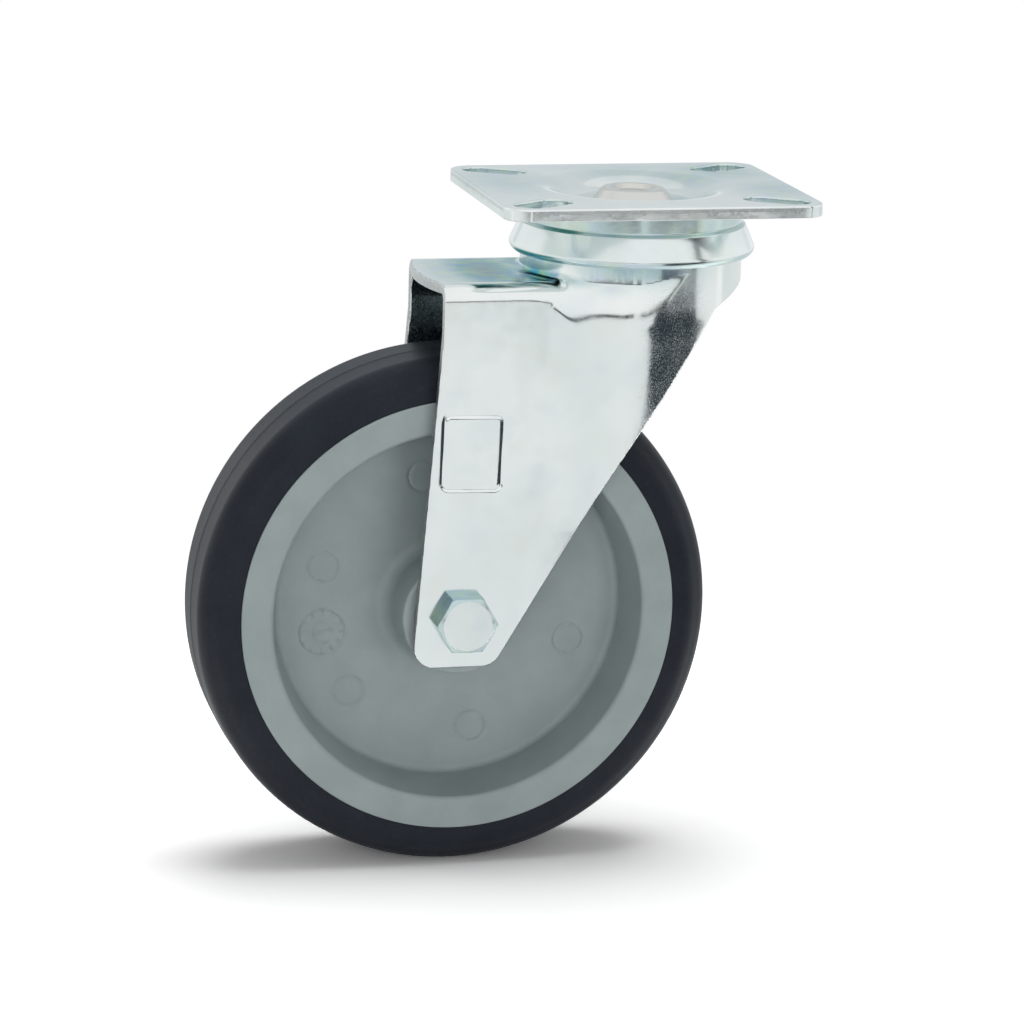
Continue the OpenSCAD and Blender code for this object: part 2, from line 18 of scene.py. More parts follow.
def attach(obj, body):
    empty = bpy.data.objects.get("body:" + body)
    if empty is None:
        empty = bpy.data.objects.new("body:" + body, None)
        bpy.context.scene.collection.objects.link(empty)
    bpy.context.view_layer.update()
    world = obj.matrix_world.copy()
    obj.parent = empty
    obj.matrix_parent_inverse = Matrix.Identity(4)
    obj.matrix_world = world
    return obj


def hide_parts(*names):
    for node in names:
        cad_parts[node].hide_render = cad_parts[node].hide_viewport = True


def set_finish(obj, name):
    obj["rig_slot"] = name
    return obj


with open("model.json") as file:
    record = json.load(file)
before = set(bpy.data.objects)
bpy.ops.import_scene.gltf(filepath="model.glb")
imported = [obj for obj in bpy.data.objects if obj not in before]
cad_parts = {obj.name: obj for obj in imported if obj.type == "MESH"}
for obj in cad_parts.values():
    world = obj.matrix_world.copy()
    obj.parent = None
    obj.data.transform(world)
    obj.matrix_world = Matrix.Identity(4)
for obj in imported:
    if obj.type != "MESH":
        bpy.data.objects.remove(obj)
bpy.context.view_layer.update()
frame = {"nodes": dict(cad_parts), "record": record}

MM = 0.001

# %% [markdown]
# The camera is placed before anything is built, so that every later choice can be judged
# against the photograph. It could be moved by eye, but circles and corners of known size
# give its place by sums: it stands a metre away, turned 14 degrees round the castor and
# looking 13.5 degrees down. A long lens keeps the wheel's circle from swelling towards the
# edge of the picture.

# %% Place the camera
yaw, tilt, roll = math.radians(-13.922), math.radians(13.516), math.radians(1.467)
camera_distance = 1004.839
focal_pixels, picture_pixels, sensor_mm = 4147.459, 1024, 36
target = Vector((-27.821, 0, -79.654))

back = Vector((math.sin(yaw) * math.cos(tilt), -math.cos(yaw) * math.cos(tilt), math.sin(tilt)))
level_right = (-back).cross(Vector((0, 0, 1))).normalized()
level_up = level_right.cross(-back)
right = level_right * math.cos(roll) + level_up * math.sin(roll)
up = level_up * math.cos(roll) - level_right * math.sin(roll)

camera = bpy.data.objects.new("camera", bpy.data.cameras.new("camera"))
bpy.context.scene.collection.objects.link(camera)
camera.data.sensor_width = sensor_mm
camera.data.lens = focal_pixels * sensor_mm / picture_pixels
camera.data.clip_end = 50
camera_turn = Matrix((right, up, back)).transposed().to_4x4()
camera.matrix_world = Matrix.Translation((target + back * camera_distance) * MM) @ camera_turn
bpy.context.scene.camera = camera
print("lens in mm:", round(camera.data.lens, 1))

# %% [markdown]
# Light and finishes are both made of shader nodes. They could be laid out by hand in the
# shader editor. In a script, a few helpers that add one node and join it up in a single
# line keep a finish as short to read as it is to draw.


# %% Add nodes in one line
def node_tree(owner):
    """Start an empty node tree on a material or the world."""
    owner.use_nodes = True
    owner.node_tree.nodes.clear()
    return owner.node_tree


def new_node(tree, kind, **settings):
    """Add a node; settings whose names are sockets are set there, the rest on the node."""
    node = tree.nodes.new(kind)
    for name, value in settings.items():
        if hasattr(node, name):
            setattr(node, name, value)
        else:
            node.inputs[name.replace("_", " ")].default_value = value
    return node


def plug(tree, value, socket):
    """Feed a socket with another node's output, or set it to a plain value."""
    if isinstance(value, bpy.types.NodeSocket):
        tree.links.new(value, socket)
    else:
        socket.default_value = value


def math_node(tree, operation, a, b):
    """The result of a Math node on two numbers or sockets."""
    made = new_node(tree, "ShaderNodeMath", operation=operation)
    plug(tree, a, made.inputs[0])
    plug(tree, b, made.inputs[1])
    return made.outputs[0]


def blend(tree, share, a, b):
    """A mix of two colours by a share; each is a socket or a value."""
    made = new_node(tree, "ShaderNodeMix", data_type="RGBA")
    for place, value in ((0, share), (6, a), (7, b)):
        plug(tree, value, made.inputs[place])
    return made.outputs[2]


def band(tree, value, low, high, to_low=0.0, to_high=1.0):
    """A value stretched from one range to another and held at its ends."""
    made = new_node(tree, "ShaderNodeMapRange")
    for name, setting in (("Value", value), ("From Min", low), ("From Max", high),
                          ("To Min", to_low), ("To Max", to_high)):
        plug(tree, setting, made.inputs[name])
    return made.outputs[0]


def seen_directly(tree):
    """1 where the camera, a mirror or a glass looks, and 0 where only light falls."""
    path = new_node(tree, "ShaderNodeLightPath")
    seen = math_node(tree, "MAXIMUM", path.outputs["Is Camera Ray"], path.outputs["Is Glossy Ray"])
    return math_node(tree, "MAXIMUM", seen, path.outputs["Is Transmission Ray"])


print("node helpers:", [f.__name__ for f in (new_node, plug, math_node, blend, band, seen_directly)])

# %% [markdown]
# The studio is white all round. A surface lit evenly by a white room shows its own colour,
# so the room gives about a quarter of the light. Two broad lamps above press the shadow of
# the wheel onto the floor under it, and two soft lamps in front light the upright faces,
# which leaves the deep recess of the wheel a little darker. The room is seen at full white
# by the camera and in reflections, and is weaker as a light.

# %% Light the studio
floor_height = -163.5
room_light = 0.28
lamp_target = (-30, 0, -80)

world = bpy.data.worlds.new("white studio")
bpy.context.scene.world = world
tree = node_tree(world)
sky = new_node(tree, "ShaderNodeBackground", Color=(1, 1, 1, 1))
plug(tree, band(tree, seen_directly(tree), 0, 1, room_light, 1), sky.inputs["Strength"])
plug(tree, sky.outputs[0], new_node(tree, "ShaderNodeOutputWorld").inputs["Surface"])


def aim(obj, place, look_at):
    """Put an object at a place and turn its -Z towards another."""
    place, look_at = Vector(place) * MM, Vector(look_at) * MM
    facing = (look_at - place).to_track_quat("-Z", "Y").to_matrix().to_4x4()
    obj.matrix_world = Matrix.Translation(place) @ facing


def soft_lamp(name, place, share, size):
    """A square lamp that adds a share of full light to a surface facing it at the castor."""
    lamp = bpy.data.objects.new(name, bpy.data.lights.new(name, "AREA"))
    bpy.context.scene.collection.objects.link(lamp)
    lamp.data.size = size * MM
    aim(lamp, place, lamp_target)
    reach = lamp.location - Vector(lamp_target) * MM
    lamp.data.energy = share * math.pi**2 * reach.length_squared
    lamp.visible_glossy = False
    return lamp


lamps = [soft_lamp("lamp above left", (-180, -120, 1300), 0.10, 900),
         soft_lamp("lamp above right", (90, 190, 1300), 0.62, 950),
         soft_lamp("lamp front left", (-560, -1150, 60), 0.20, 700),
         soft_lamp("lamp front right", (420, -1250, 20), 0.24, 600)]
bpy.context.scene.view_settings.view_transform = "Standard"
print("lamps:", [(lamp.name, round(lamp.data.energy, 1)) for lamp in lamps])

# %% [markdown]
# The floor takes the castor's shadow and is white where none falls. It is painted a little
# under white, so that it throws back a natural light, and looks brighter than that to the
# camera and in mirrors. Away from the castor it fades into the white of the room, which
# could also be done with a curved backdrop, but a plane has no bend to show in the metal.

# %% Lay the floor
floor_as_light, floor_as_seen = 0.95, 1.45
fade_start, fade_end = 0.16, 0.34


def flat_sheet(name, corners):
    """A sheet of the studio, with its corners in mm."""
    mesh = bpy.data.meshes.new(name)
    mesh.from_pydata([Vector(corner) * MM for corner in corners], [], [tuple(range(len(corners)))])
    sheet = bpy.data.objects.new(name, mesh)
    bpy.context.scene.collection.objects.link(sheet)
    return sheet


def rectangle(name, width, height):
    """A rectangular sheet round its own middle."""
    signs = ((-1, -1), (1, -1), (1, 1), (-1, 1))
    return flat_sheet(name, [(a * width / 2, b * height / 2, 0) for a, b in signs])


floor = rectangle("floor", 9000, 9000)
floor.location.z = floor_height * MM
floor_paint = bpy.data.materials.new("white floor")
tree = node_tree(floor_paint)
seen = seen_directly(tree)
whiteness = blend(tree, seen, (floor_as_light,) * 3 + (1,), (floor_as_seen,) * 3 + (1,))
paint = new_node(tree, "ShaderNodeBsdfDiffuse")
plug(tree, whiteness, paint.inputs["Color"])
from_middle = new_node(tree, "ShaderNodeVectorMath", operation="LENGTH")
plug(tree, new_node(tree, "ShaderNodeTexCoord").outputs["Object"], from_middle.inputs[0])
away = band(tree, from_middle.outputs["Value"], fade_start, fade_end)
fade = new_node(tree, "ShaderNodeMixShader")
plug(tree, math_node(tree, "MULTIPLY", away, seen), fade.inputs[0])
plug(tree, paint.outputs[0], fade.inputs[1])
plug(tree, new_node(tree, "ShaderNodeEmission", Color=(1, 1, 1, 1)).outputs[0], fade.inputs[2])
plug(tree, fade.outputs[0], new_node(tree, "ShaderNodeOutputMaterial").inputs["Surface"])
floor.data.materials.append(floor_paint)
print("floor at", floor_height, "mm, fading from", fade_start, "to", fade_end, "m")

# %% [markdown]
# Bright metal is drawn by what it mirrors. A picture of a studio wrapped round the scene
# could serve, but a photographer stands cards round the product, and cards can be moved one
# by one. Pale cards lie on the floor in front and behind, so that the upright faces are a
# little darker than the bends above them. Two low dark strips stand on the front one and
# draw the thin line under each bend; the space between them keeps the leg clean from
# straight in front. Dark cards on the right, one of them close to the fork, give the deep
# reflections on the bulge, and grey ones behind, above and on the left quiet the flat tops.
# They are plain sheets that only mirrors see, so they throw no shadow and tint nothing.

# %% Stand up the cards
deep_shade, side_shade = (0.02, 0.025, 0.03), (0.03, 0.04, 0.05)
low_card = floor_height + 6
side_floor_corners = [(62, -150), (62, -330), (135, -385), (150, -600),
                      (520, -600), (690, -470), (420, -262), (420, -150)]


def card_finish(name, shade):
    """An even tone that is the same from every side."""
    mat = bpy.data.materials.new(name)
    tree = node_tree(mat)
    glow = new_node(tree, "ShaderNodeEmission", Color=(*shade, 1))
    plug(tree, glow.outputs[0], new_node(tree, "ShaderNodeOutputMaterial").inputs["Surface"])
    return mat


def make_card(card, shade):
    """Give a sheet its tone, and let it be seen in reflections and nowhere else."""
    card.data.materials.append(card_finish(card.name, shade))
    card.visible_camera = card.visible_diffuse = card.visible_shadow = False
    card.visible_transmission = card.visible_volume_scatter = False


for name, place, look_at, width, height, shade in (
    ("floor card", (100, -855, low_card), (100, -855, 500), 2600, 1590, (0.88, 0.90, 0.90)),
    ("far side floor card", (100, 855, low_card), (100, 855, 500), 2600, 1590, (0.80, 0.83, 0.83)),
    ("left horizon strip", (-540, -700, -76), (-540, 0, -76), 920, 76, deep_shade),
    ("right horizon strip", (360, -700, -76), (360, 0, -76), 680, 76, deep_shade),
    ("back card", (180, 720, 380), (-20, 0, -10), 1400, 760, (0.70, 0.74, 0.76)),
    ("high card", (90, 330, 640), (-20, 0, -10), 1000, 330, (0.84, 0.86, 0.87)),
    ("left card", (-700, -60, 330), (0, 0, -10), 700, 560, (0.78, 0.83, 0.81)),
    ("side card", (435, -439, -143), (0, -26, -143), 222, 40, side_shade),
    ("ridge card", (68, -160, -58), (0, -26, -58), 53, 34, side_shade),
    ("side post", (491, -350, 150), (0, -26, 150), 66, 480, (0.04, 0.05, 0.06)),
):
    card = rectangle(name, width, height)
    aim(card, place, look_at)
    make_card(card, shade)
side_floor_card = flat_sheet("side floor card", [(x, y, floor_height + 8) for x, y in side_floor_corners])
make_card(side_floor_card, side_shade)

# %% [markdown]
# Most of the castor was made by pressing or turning, so its corners are never sharp. A
# drawn line is given as corners with a radius each, and a helper turns every corner into
# an arc, as on a workshop drawing. A Bevel modifier could round the edges too, but here
# each corner has its own radius, which a line states more plainly.

# %% Round a drawn line and make a piece
axle = np.array((-44.0, 0.0, -101.0))


def unit(v):
    """The same direction with a length of one."""
    return v / np.linalg.norm(v)


def rounded(path, steps=8):
    """Corners (a, b, radius) of a drawn line as points, each inner corner turned into an arc."""
    points = []
    for i, (a, b, radius) in enumerate(path):
        here = np.array((a, b), float)
        if radius == 0 or i in (0, len(path) - 1):
            points.append(here)
            continue
        u = unit(np.array(path[i - 1][:2], float) - here)
        v = unit(np.array(path[i + 1][:2], float) - here)
        half = math.acos(np.clip(u @ v, -1, 1)) / 2
        centre = here + unit(u + v) * radius / math.sin(half)
        first = here + u * radius / math.tan(half) - centre
        last = here + v * radius / math.tan(half) - centre
        sweep = math.pi - 2 * half
        for t in np.linspace(0, 1, steps + 1):
            spoke = first * math.sin((1 - t) * sweep) + last * math.sin(t * sweep)
            points.append(centre + spoke / math.sin(sweep))
    return np.array(points)


def mesh_piece(name, points, faces, body, slot, replaced=()):
    """A piece from points in mm, smooth, riding on its body and standing for its solids."""
    mesh = bpy.data.meshes.new(name)
    mesh.from_pydata(np.asarray(points) * MM, [], faces)
    mesh.update()
    mesh.shade_smooth()
    obj = bpy.data.objects.new(name, mesh)
    bpy.context.scene.collection.objects.link(obj)
    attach(obj, body)
    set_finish(obj, slot)
    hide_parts(*replaced)
    return obj


square = rounded([(0, 0, 0), (9, 0, 2), (9, 9, 2), (0, 9, 0)])
print("two rounded corners as points:", len(square))

# %% [markdown]
# Pressings such as the fork flow from flat to round to conical in one sheet, which is hard
# to lay out face by face, even with a subdivided cage. It is easier to say, for any point
# in space, how far it is from the metal: simple distances to planes, cones and outlines
# are blended with soft minimums and rounded maximums.


# %% Blend distances
def soft_min(a, b, reach):
    """The nearer of two shapes, with a fillet where they meet."""
    h = np.clip(0.5 + 0.5 * (b - a) / reach, 0, 1)
    return b + (a - b) * h - reach * h * (1 - h)


def round_max(a, b, radius):
    """What two shapes share, with the edge between them rounded."""
    outer = np.hypot(np.maximum(a + radius, 0), np.maximum(b + radius, 0))
    return np.minimum(np.maximum(a, b), -radius) + outer


def ease(t):
    """A smooth step from 0 to 1."""
    t = np.clip(t, 0, 1)
    return t * t * (3 - 2 * t)


def bell(off, width):
    """1 on a line, dying away smoothly beside it."""
    return np.exp(-(off / width) ** 2)


def turned(a, b, angle):
    """How far a point lies along and beside a direction at an angle."""
    return a * math.cos(angle) + b * math.sin(angle), b * math.cos(angle) - a * math.sin(angle)


def box_distance(a, b, half, corner):
    """Distance to a rectangle with rounded corners."""
    qa, qb = np.abs(a) - half[0] + corner, np.abs(b) - half[1] + corner
    return np.hypot(np.maximum(qa, 0), np.maximum(qb, 0)) + np.minimum(np.maximum(qa, qb), 0) - corner


def outline_distance(a, b, corners):
    """Signed distance from points (a, b) to a closed outline, negative inside."""
    best, inside = np.inf, False
    for p, q in zip(corners, np.roll(corners, -1, 0)):
        d = q - p
        t = np.clip(((a - p[0]) * d[0] + (b - p[1]) * d[1]) / (d @ d), 0, 1)
        best = np.minimum(best, (a - p[0] - t * d[0]) ** 2 + (b - p[1] - t * d[1]) ** 2)
        crosses = (p[1] > b) != (q[1] > b)
        inside = inside ^ (crosses & (a < d[0] * (b - p[1]) / (d[1] if d[1] else 1e-9) + p[0]))
    return np.where(inside, -1, 1) * np.sqrt(best)


print("a fillet brings 1 and 1.2 to", round(float(soft_min(1, 1.2, 0.5)), 3))

# %% [markdown]
# A net of quads is drawn where that distance is zero: every grid cell that the surface
# crosses gets one point, and neighbouring cells are joined. The points are then pulled
# exactly onto the surface. A Remesh modifier makes such a net from a mesh, but here no
# mesh is needed before it.


# %% Draw a net where the distance is zero
def net_surface(field, low, high, step):
    """Quads where a field of distances crosses zero, one point for each grid cell."""
    axes = [np.arange(low[i], high[i] + step, step) for i in range(3)]
    x, y, z = axes[0][:, None, None], axes[1][None, :, None], axes[2][None, None, :]
    value = np.concatenate([field(x[i:i + 8], y, z) for i in range(0, len(x), 8)])
    inside = value < 0
    ends = [slice(0, -1), slice(1, None)]
    steps = [(i, j, k) for i in (0, 1) for j in (0, 1) for k in (0, 1)]
    filled = sum(inside[ends[i], ends[j], ends[k]].astype(np.int8) for i, j, k in steps)
    cells = np.argwhere((filled > 0) & (filled < 8))
    number = np.full(filled.shape, -1)
    number[tuple(cells.T)] = np.arange(len(cells))
    total, hits = np.zeros((len(cells), 3)), np.zeros((len(cells), 1))
    for start in steps:
        for axis in (a for a in range(3) if start[a] == 0):
            end = np.array(start) + np.eye(3, dtype=int)[axis]
            first, last = value[tuple((cells + start).T)], value[tuple((cells + end).T)]
            cut = (first < 0) != (last < 0)
            share = first[cut] / (first[cut] - last[cut])
            total[cut] += np.array(start) + share[:, None] * np.eye(3)[axis]
            hits[cut] += 1
    points = np.array(low) + step * (cells + total / hits)
    faces = []
    for axis in range(3):
        u, v = np.eye(3, dtype=int)[(axis + 1) % 3], np.eye(3, dtype=int)[(axis + 2) % 3]
        here = [slice(1, -1)] * 3
        here[axis] = slice(0, -1)
        there = list(here)
        there[axis] = slice(1, None)
        changed = np.argwhere(inside[tuple(here)] != inside[tuple(there)]) + (u + v)
        quad = np.stack([number[tuple((changed - s).T)] for s in (u + v, v, 0 * u, u)], 1)
        facing = inside[tuple(changed.T)]
        faces.append(np.where(facing[:, None], quad, quad[:, ::-1]))
    return points, np.concatenate(faces)


def slope_of(field, points, reach=0.02):
    """How steeply, and which way, the distance grows at each point."""
    result = np.empty_like(points)
    for axis in range(3):
        shift = np.eye(3)[axis] * reach
        result[:, axis] = field(*(points + shift).T) - field(*(points - shift).T)
    return result / (2 * reach)


def pull_on(field, points, rounds=2, limit=0.2):
    """Move points along the slope until they lie on the surface."""
    for _ in range(rounds):
        slope = slope_of(field, points)
        size = np.maximum((slope * slope).sum(1), 0.25)
        move = np.clip(field(*points.T) / size, -limit, limit)
        points = points - move[:, None] * slope
    return points


def ball_field(x, y, z):
    """Distance outside a test ball of 5 mm."""
    return np.sqrt(x * x + y * y + z * z) - 5


ball_points, ball_faces = net_surface(ball_field, (-6, -6, -6), (6, 6, 6), 1.0)
ball_sizes = np.linalg.norm(pull_on(ball_field, ball_points), axis=1)
print("a test ball has", len(ball_faces), "faces and is round to", round(float(np.ptp(ball_sizes)), 6), "mm")

# %% [markdown]
# A piece keeps fewer points where it is flat, which the Decimate modifier sees to, and the
# slope of its distance gives each point its true shading. Marks for the finishes are stored
# on the mesh: a value for each point where a look fades in softly, and one for each face
# where it ends at an edge. Weight paint could do that by hand, but a rule hits the same
# place in every mesh.


# %% Make a piece from its distances and mark it
def pressed_piece(name, field, low, high, step, body, slot, replaced, keep=1.0):
    """A piece drawn from its field, lightened where it is flat, with true shading."""
    points, faces = net_surface(field, low, high, step)
    obj = mesh_piece(name, pull_on(field, points), faces.tolist(), body, slot, replaced)
    if keep < 1:
        obj.modifiers.new("lighten", "DECIMATE").ratio = keep
        decimated = obj.evaluated_get(bpy.context.evaluated_depsgraph_get())
        lighter = bpy.data.meshes.new_from_object(decimated)
        obj.modifiers.clear()
        obj.data = lighter
        obj.data.name = name
    count = len(obj.data.vertices)
    place = np.empty(count * 3)
    obj.data.vertices.foreach_get("co", place)
    place = pull_on(field, place.reshape(-1, 3) / MM)
    obj.data.vertices.foreach_set("co", (place * MM).ravel())
    slope = slope_of(field, place)
    slope /= np.linalg.norm(slope, axis=1, keepdims=True)
    obj.data.shade_smooth()
    obj.data.normals_split_custom_set_from_vertices(slope)
    print(name, "has", len(obj.data.polygons), "faces")
    return obj, place


def paint_film(points, patches):
    """How thick a film looks at each point, from soft patches of (middle, reach, strength); above 1 the film
    finish paints a dark shade.
    """
    thickness = np.zeros(len(points))
    for middle, reach, strength in patches:
        off = (points - np.array(middle)) / np.array(reach)
        thickness = np.maximum(thickness, strength * np.exp(-(off * off).sum(1)))
    return thickness


def mark(obj, name, values):
    """Store a value for each point, for a material to read."""
    layer = obj.data.attributes.new(name, "FLOAT", "POINT")
    layer.data.foreach_set("value", np.asarray(values, np.float32))


def mark_faces(obj, name, rule):
    """Store a value for each face, worked out from its middle in mm and the way it faces."""
    faces = obj.data.polygons
    middle, facing = np.empty(len(faces) * 3), np.empty(len(faces) * 3)
    faces.foreach_get("center", middle)
    faces.foreach_get("normal", facing)
    values = rule(*(middle.reshape(-1, 3) / MM).T, np.abs(facing.reshape(-1, 3)))
    layer = obj.data.attributes.new(name, "FLOAT", "FACE")
    layer.data.foreach_set("value", np.asarray(values, np.float32))


test_points = np.array(((0, 0, 0), (5, 0, 0)))
print("a patch's middle and rim:", paint_film(test_points, [((0, 0, 0), (5, 5, 5), 0.5)]).round(2))

# %% [markdown]
# The fork is one drawn sheet, 2.5 mm thick. A round crown carries the ball races; in front
# of it a flat bridge folds down into two legs, and behind it the legs bulge outwards so that
# the fork can close round the crown. The bulge comes to a soft corner below the crown, as if
# a sheet were stretched round the crown and a post beside it. Above the corner a shoulder
# slopes up to a crease in the crown's wall; towards the back the ridge climbs and fades.
# Everything is cut off by one outline seen from the side, and a shallow panel is pressed
# into the near leg. A cage of faces could follow all that, but every change to a measure
# would move it by hand. So the measures come first, and then the shapes that they give, one
# step of the press at a time.

# %% Measure the fork
fork_thickness = 2.5
leg_face = 20.2
crown_radius, crown_top, crown_hole = 26.49, -8.978, 12.98
bridge_top, bend_radius = -20.0, 4.0
crease_height, ridge_height, bulge_end = -19.3, -27.0, -80.0
ridge_corner, ridge_lean, corner_softness = (-3.6, 28.9), 0.15, 4.5
bulge_front = -23.5
axle_hole = 4.2
fork_outline = rounded([(-50.2, 1, 0), (-50.2, -32, 25), (-56.3, -112.4, 5), (-36.5, -112.4, 5),
                        (14.9, -26.4, 4), (30.3, -19.42, 0), (30.3, 1, 0)])
upper_row, lower_row = (22.19, -6.978, 2.6), (15.283, -12.978, 2.1)
panel_middle, panel_half, panel_corner, panel_tilt = (-42.65, -59.95), (7.1, 8.9), 1.6, math.radians(-1.5)
panel_depth, panel_width = 0.22, 0.45
ridge_rise, crease_rise, ridge_front_rise = 10.6, 2.6, 3.2
bow_depth, bow_half = 2.6, 17
print("the fork's outline has", len(fork_outline), "points")

# %% [markdown]
# The press first draws the round crown and pushes the bulges out beside it. The crown is a
# cylinder that draws in downwards. The bulge is what a string round the crown and a corner
# post would enclose, which gives it flat sides and no seam. How much of it shows is a share
# that grows from the crease down to the ridge.


# %% Shape the crown and its bulge
def taper(z):
    """How far the bulge has closed in: 0 above the ridge, 1 where it meets the leg."""
    part = np.clip((ridge_height + 1.5 - z) / (ridge_height + 1.5 - bulge_end), 0, 1)
    return np.where(part < 0.12, part * part / 0.24, part - 0.06) / 0.94


def crown_wall(z):
    """Radius of the crown's wall at a height; it draws in below the ridge."""
    return crown_radius - (crown_radius - leg_face) * taper(z)


def crown_distance(x, across, z):
    """Distance outside the crown's wall, which is pinched a little where the bulge leaves it."""
    pinch = 0.6 * ease((-3 - x) / 8) * ease((z - ridge_height) / 6)
    return np.hypot(x, across) - crown_wall(z) + pinch


def hull_distance(x, across, z):
    """Distance outside a sheet stretched round the crown and the bulge's corner post."""
    down = taper(z)
    cx = ridge_corner[0] + ridge_lean * down * (ridge_height - bulge_end)
    cy = ridge_corner[1] + (leg_face - ridge_corner[1]) * down
    round_part = crown_wall(z)
    front = -np.arctan2(cy - leg_face, cx - bulge_front)
    first = (x - cx) * np.sin(front) + (across - cy) * np.cos(front)
    reach = np.hypot(cx, cy)
    turn = np.arctan2(cx, cy) + np.arccos(np.clip(round_part / reach, 0, 1))
    nx, ny = np.sin(turn), np.cos(turn)
    second = x * nx + across * ny - round_part
    corner = round_max(first, second, corner_softness)
    behind = (x - round_part * nx) * ny - (across - round_part * ny) * nx > 0
    return np.where(behind | (across < 0), np.hypot(x, across) - round_part, corner)


def ridge_climb(x, across):
    """How far the ridge has climbed towards the back: 0 over the legs, 1 where it has faded."""
    return np.clip((np.degrees(np.arctan2(x, across)) + 7) / 24, 0, 1)


def ridge_line(x, across):
    """Height of the shoulder's lower edge, which also rises to meet the bend in front."""
    return ridge_height + ridge_rise * ridge_climb(x, across) + ridge_front_rise * (1 - ease((x + 25) / 7))


def bulge_distance(x, across, z):
    """Distance outside the crown with its bulge, which slopes back above the ridge."""
    crease = crease_height + crease_rise * ridge_climb(x, across)
    ridge = ridge_line(x, across)
    rise = np.maximum((crease - z) / (crease - ridge + 0.3), 0)
    share = np.minimum(rise, soft_min(rise, 1, 0.4))
    round_wall = crown_distance(x, across, z)
    return round_wall + (np.minimum(hull_distance(x, across, z), round_wall) - round_wall) * share


print("ridge beside the leg and at the back:", [round(float(ridge_line(x, 20.0)), 1) for x in (-10.0, 15.0)])

# %% [markdown]
# Then the legs are folded down. A Solidify modifier could give a single skin its thickness,
# but on a real pressing the inside of a bend isn't an even offset of the outside: the die
# and the punch have radii of their own. So the sheet gets an outer skin and a lining.


# %% Fold the legs and give the sheet two skins
def body_distance(x, across, z, inset, bend, fillet):
    """Distance outside the bridge, its bends, the legs and the bulge, all set in by an amount."""
    leg = np.maximum(across - leg_face, x + 12) + inset
    droop = 1 - 0.43 * ease((x + 31) / 14)
    folded = round_max(leg, (z - bridge_top + inset) * droop, bend)
    fullness = (1 - taper(z)) * (0.25 + 0.75 * ease((x + 26) / 8))
    return soft_min(folded, bulge_distance(x, across, z) + inset, 0.02 + fillet * fullness)


def fork_skin(x, y, z):
    """Distance to the fork's outer skin, as if it were solid."""
    soft = ease((-2 - x) / 16)
    body = body_distance(x, np.abs(y), z, 0, bend_radius, 2.2)
    body = np.maximum(body, z + 14)
    neck = round_max(crown_distance(x, np.abs(y), z), z - crown_top, 3.0)
    return soft_min(neck, body, 0.1 + 3.4 * soft)


def fork_lining(x, y, z):
    """Distance to the fork's inner skin, whose bends were set with a fuller radius."""
    bend = 1.5 + 5.5 * ease((-26 - x) / 8) * ease(0.5 + y / 6)
    under = body_distance(x, np.abs(y), z, fork_thickness, bend, 2.2)
    neck = round_max(np.hypot(x, y) - crown_wall(z) + fork_thickness, z - crown_top + fork_thickness, 0.8)
    return np.minimum(neck, np.maximum(under, z - bridge_top + fork_thickness))


bridge_spot = (-45.0, 0.0, bridge_top)
print("the bridge's top lies", [round(float(skin(*bridge_spot)), 2) for skin in (fork_skin, fork_lining)],
      "mm outside the two skins")

# %% [markdown]
# Last come the panel on the near leg, the cut outline, the hole for the axle and the grooves
# for the balls. Each is one more distance, taken away with a small rounding, where a chain
# of Booleans would leave knife edges. The net is then drawn round the whole fork.


# %% Press the panel and cut the blank
def panel_line(x, z):
    """Distance to the panel's outline on the near leg."""
    a, b = turned(x - panel_middle[0], z - panel_middle[1], panel_tilt)
    return box_distance(a, b, panel_half, panel_corner)


def ring_distance(radius, z, row):
    """Distance outside a groove that a row of balls rolls in."""
    return row[2] - np.hypot(radius - row[0], z - row[1])


def bridge_bow(x, y, z):
    """How far the bridge's front edge bows out between the legs."""
    across_bow = np.clip(1 - (y / bow_half) ** 2, 0, 1)
    return bow_depth * across_bow * ease((z + 32) / 6) * ease((-34 - x) / 8)


def blank_edge(x, y, z):
    """Distance outside the outline that the blank was cut to."""
    return outline_distance(x + bridge_bow(x, y, z), z, fork_outline)


def fork_field(x, y, z):
    """Distance outside the fork's sheet."""
    groove = panel_depth * bell(panel_line(x, z), panel_width) * (y < -leg_face + 1)
    sheet = np.maximum(fork_skin(x, y, z) + groove, -fork_lining(x, y, z))
    sheet = round_max(sheet, blank_edge(x, y, z), 0.3)
    sheet = round_max(sheet, axle_hole - np.hypot(x - axle[0], z - axle[2]), 0.2)
    radius = np.hypot(x, y)
    sheet = np.maximum(sheet, np.where(z > -19, crown_hole - radius, -50))
    grooves = np.maximum(ring_distance(radius, z, upper_row), ring_distance(radius, z, lower_row))
    return np.maximum(sheet, grooves)


fork_step = 0.42
fork, fork_points = pressed_piece(
    "pressed_fork", fork_field, (-58, -30, -114), (32, 30, -7), fork_step,
    "swivel", "zinc_plate", ["fork"], keep=0.42)

# %% [markdown]
# A pressing isn't equally bright all over. Where the sheet was stretched most, over the
# bulge and along its ridge, it is rough and scatters what it mirrors; inside, it never met
# the polished die. The plating's coloured film is thick on the flat bridge and thin on the
# sides. On the middle of the bridge and beside the skirt the film mark goes above 1, and
# there it also paints a dark shade, which stands for a dark reflection. The sheared front
# edges show torn steel. The marks for all this could be painted by hand; here they are soft
# patches in mm, so they stay in place on a coarser net too.


# %% Mark where the fork is rough, filmed, cut or painted with shade
def fork_cut(x, y, z, facing):
    """The sheared front edges of the fork; the bridge's is cleaner than the legs'."""
    on_cut = (facing[:, 1] < 0.5) & (blank_edge(x, y, z) > -0.25)
    return on_cut * (x < -36 - 0.2 * z) * (0.7 + 0.3 * ease((-23 - z) / 3))


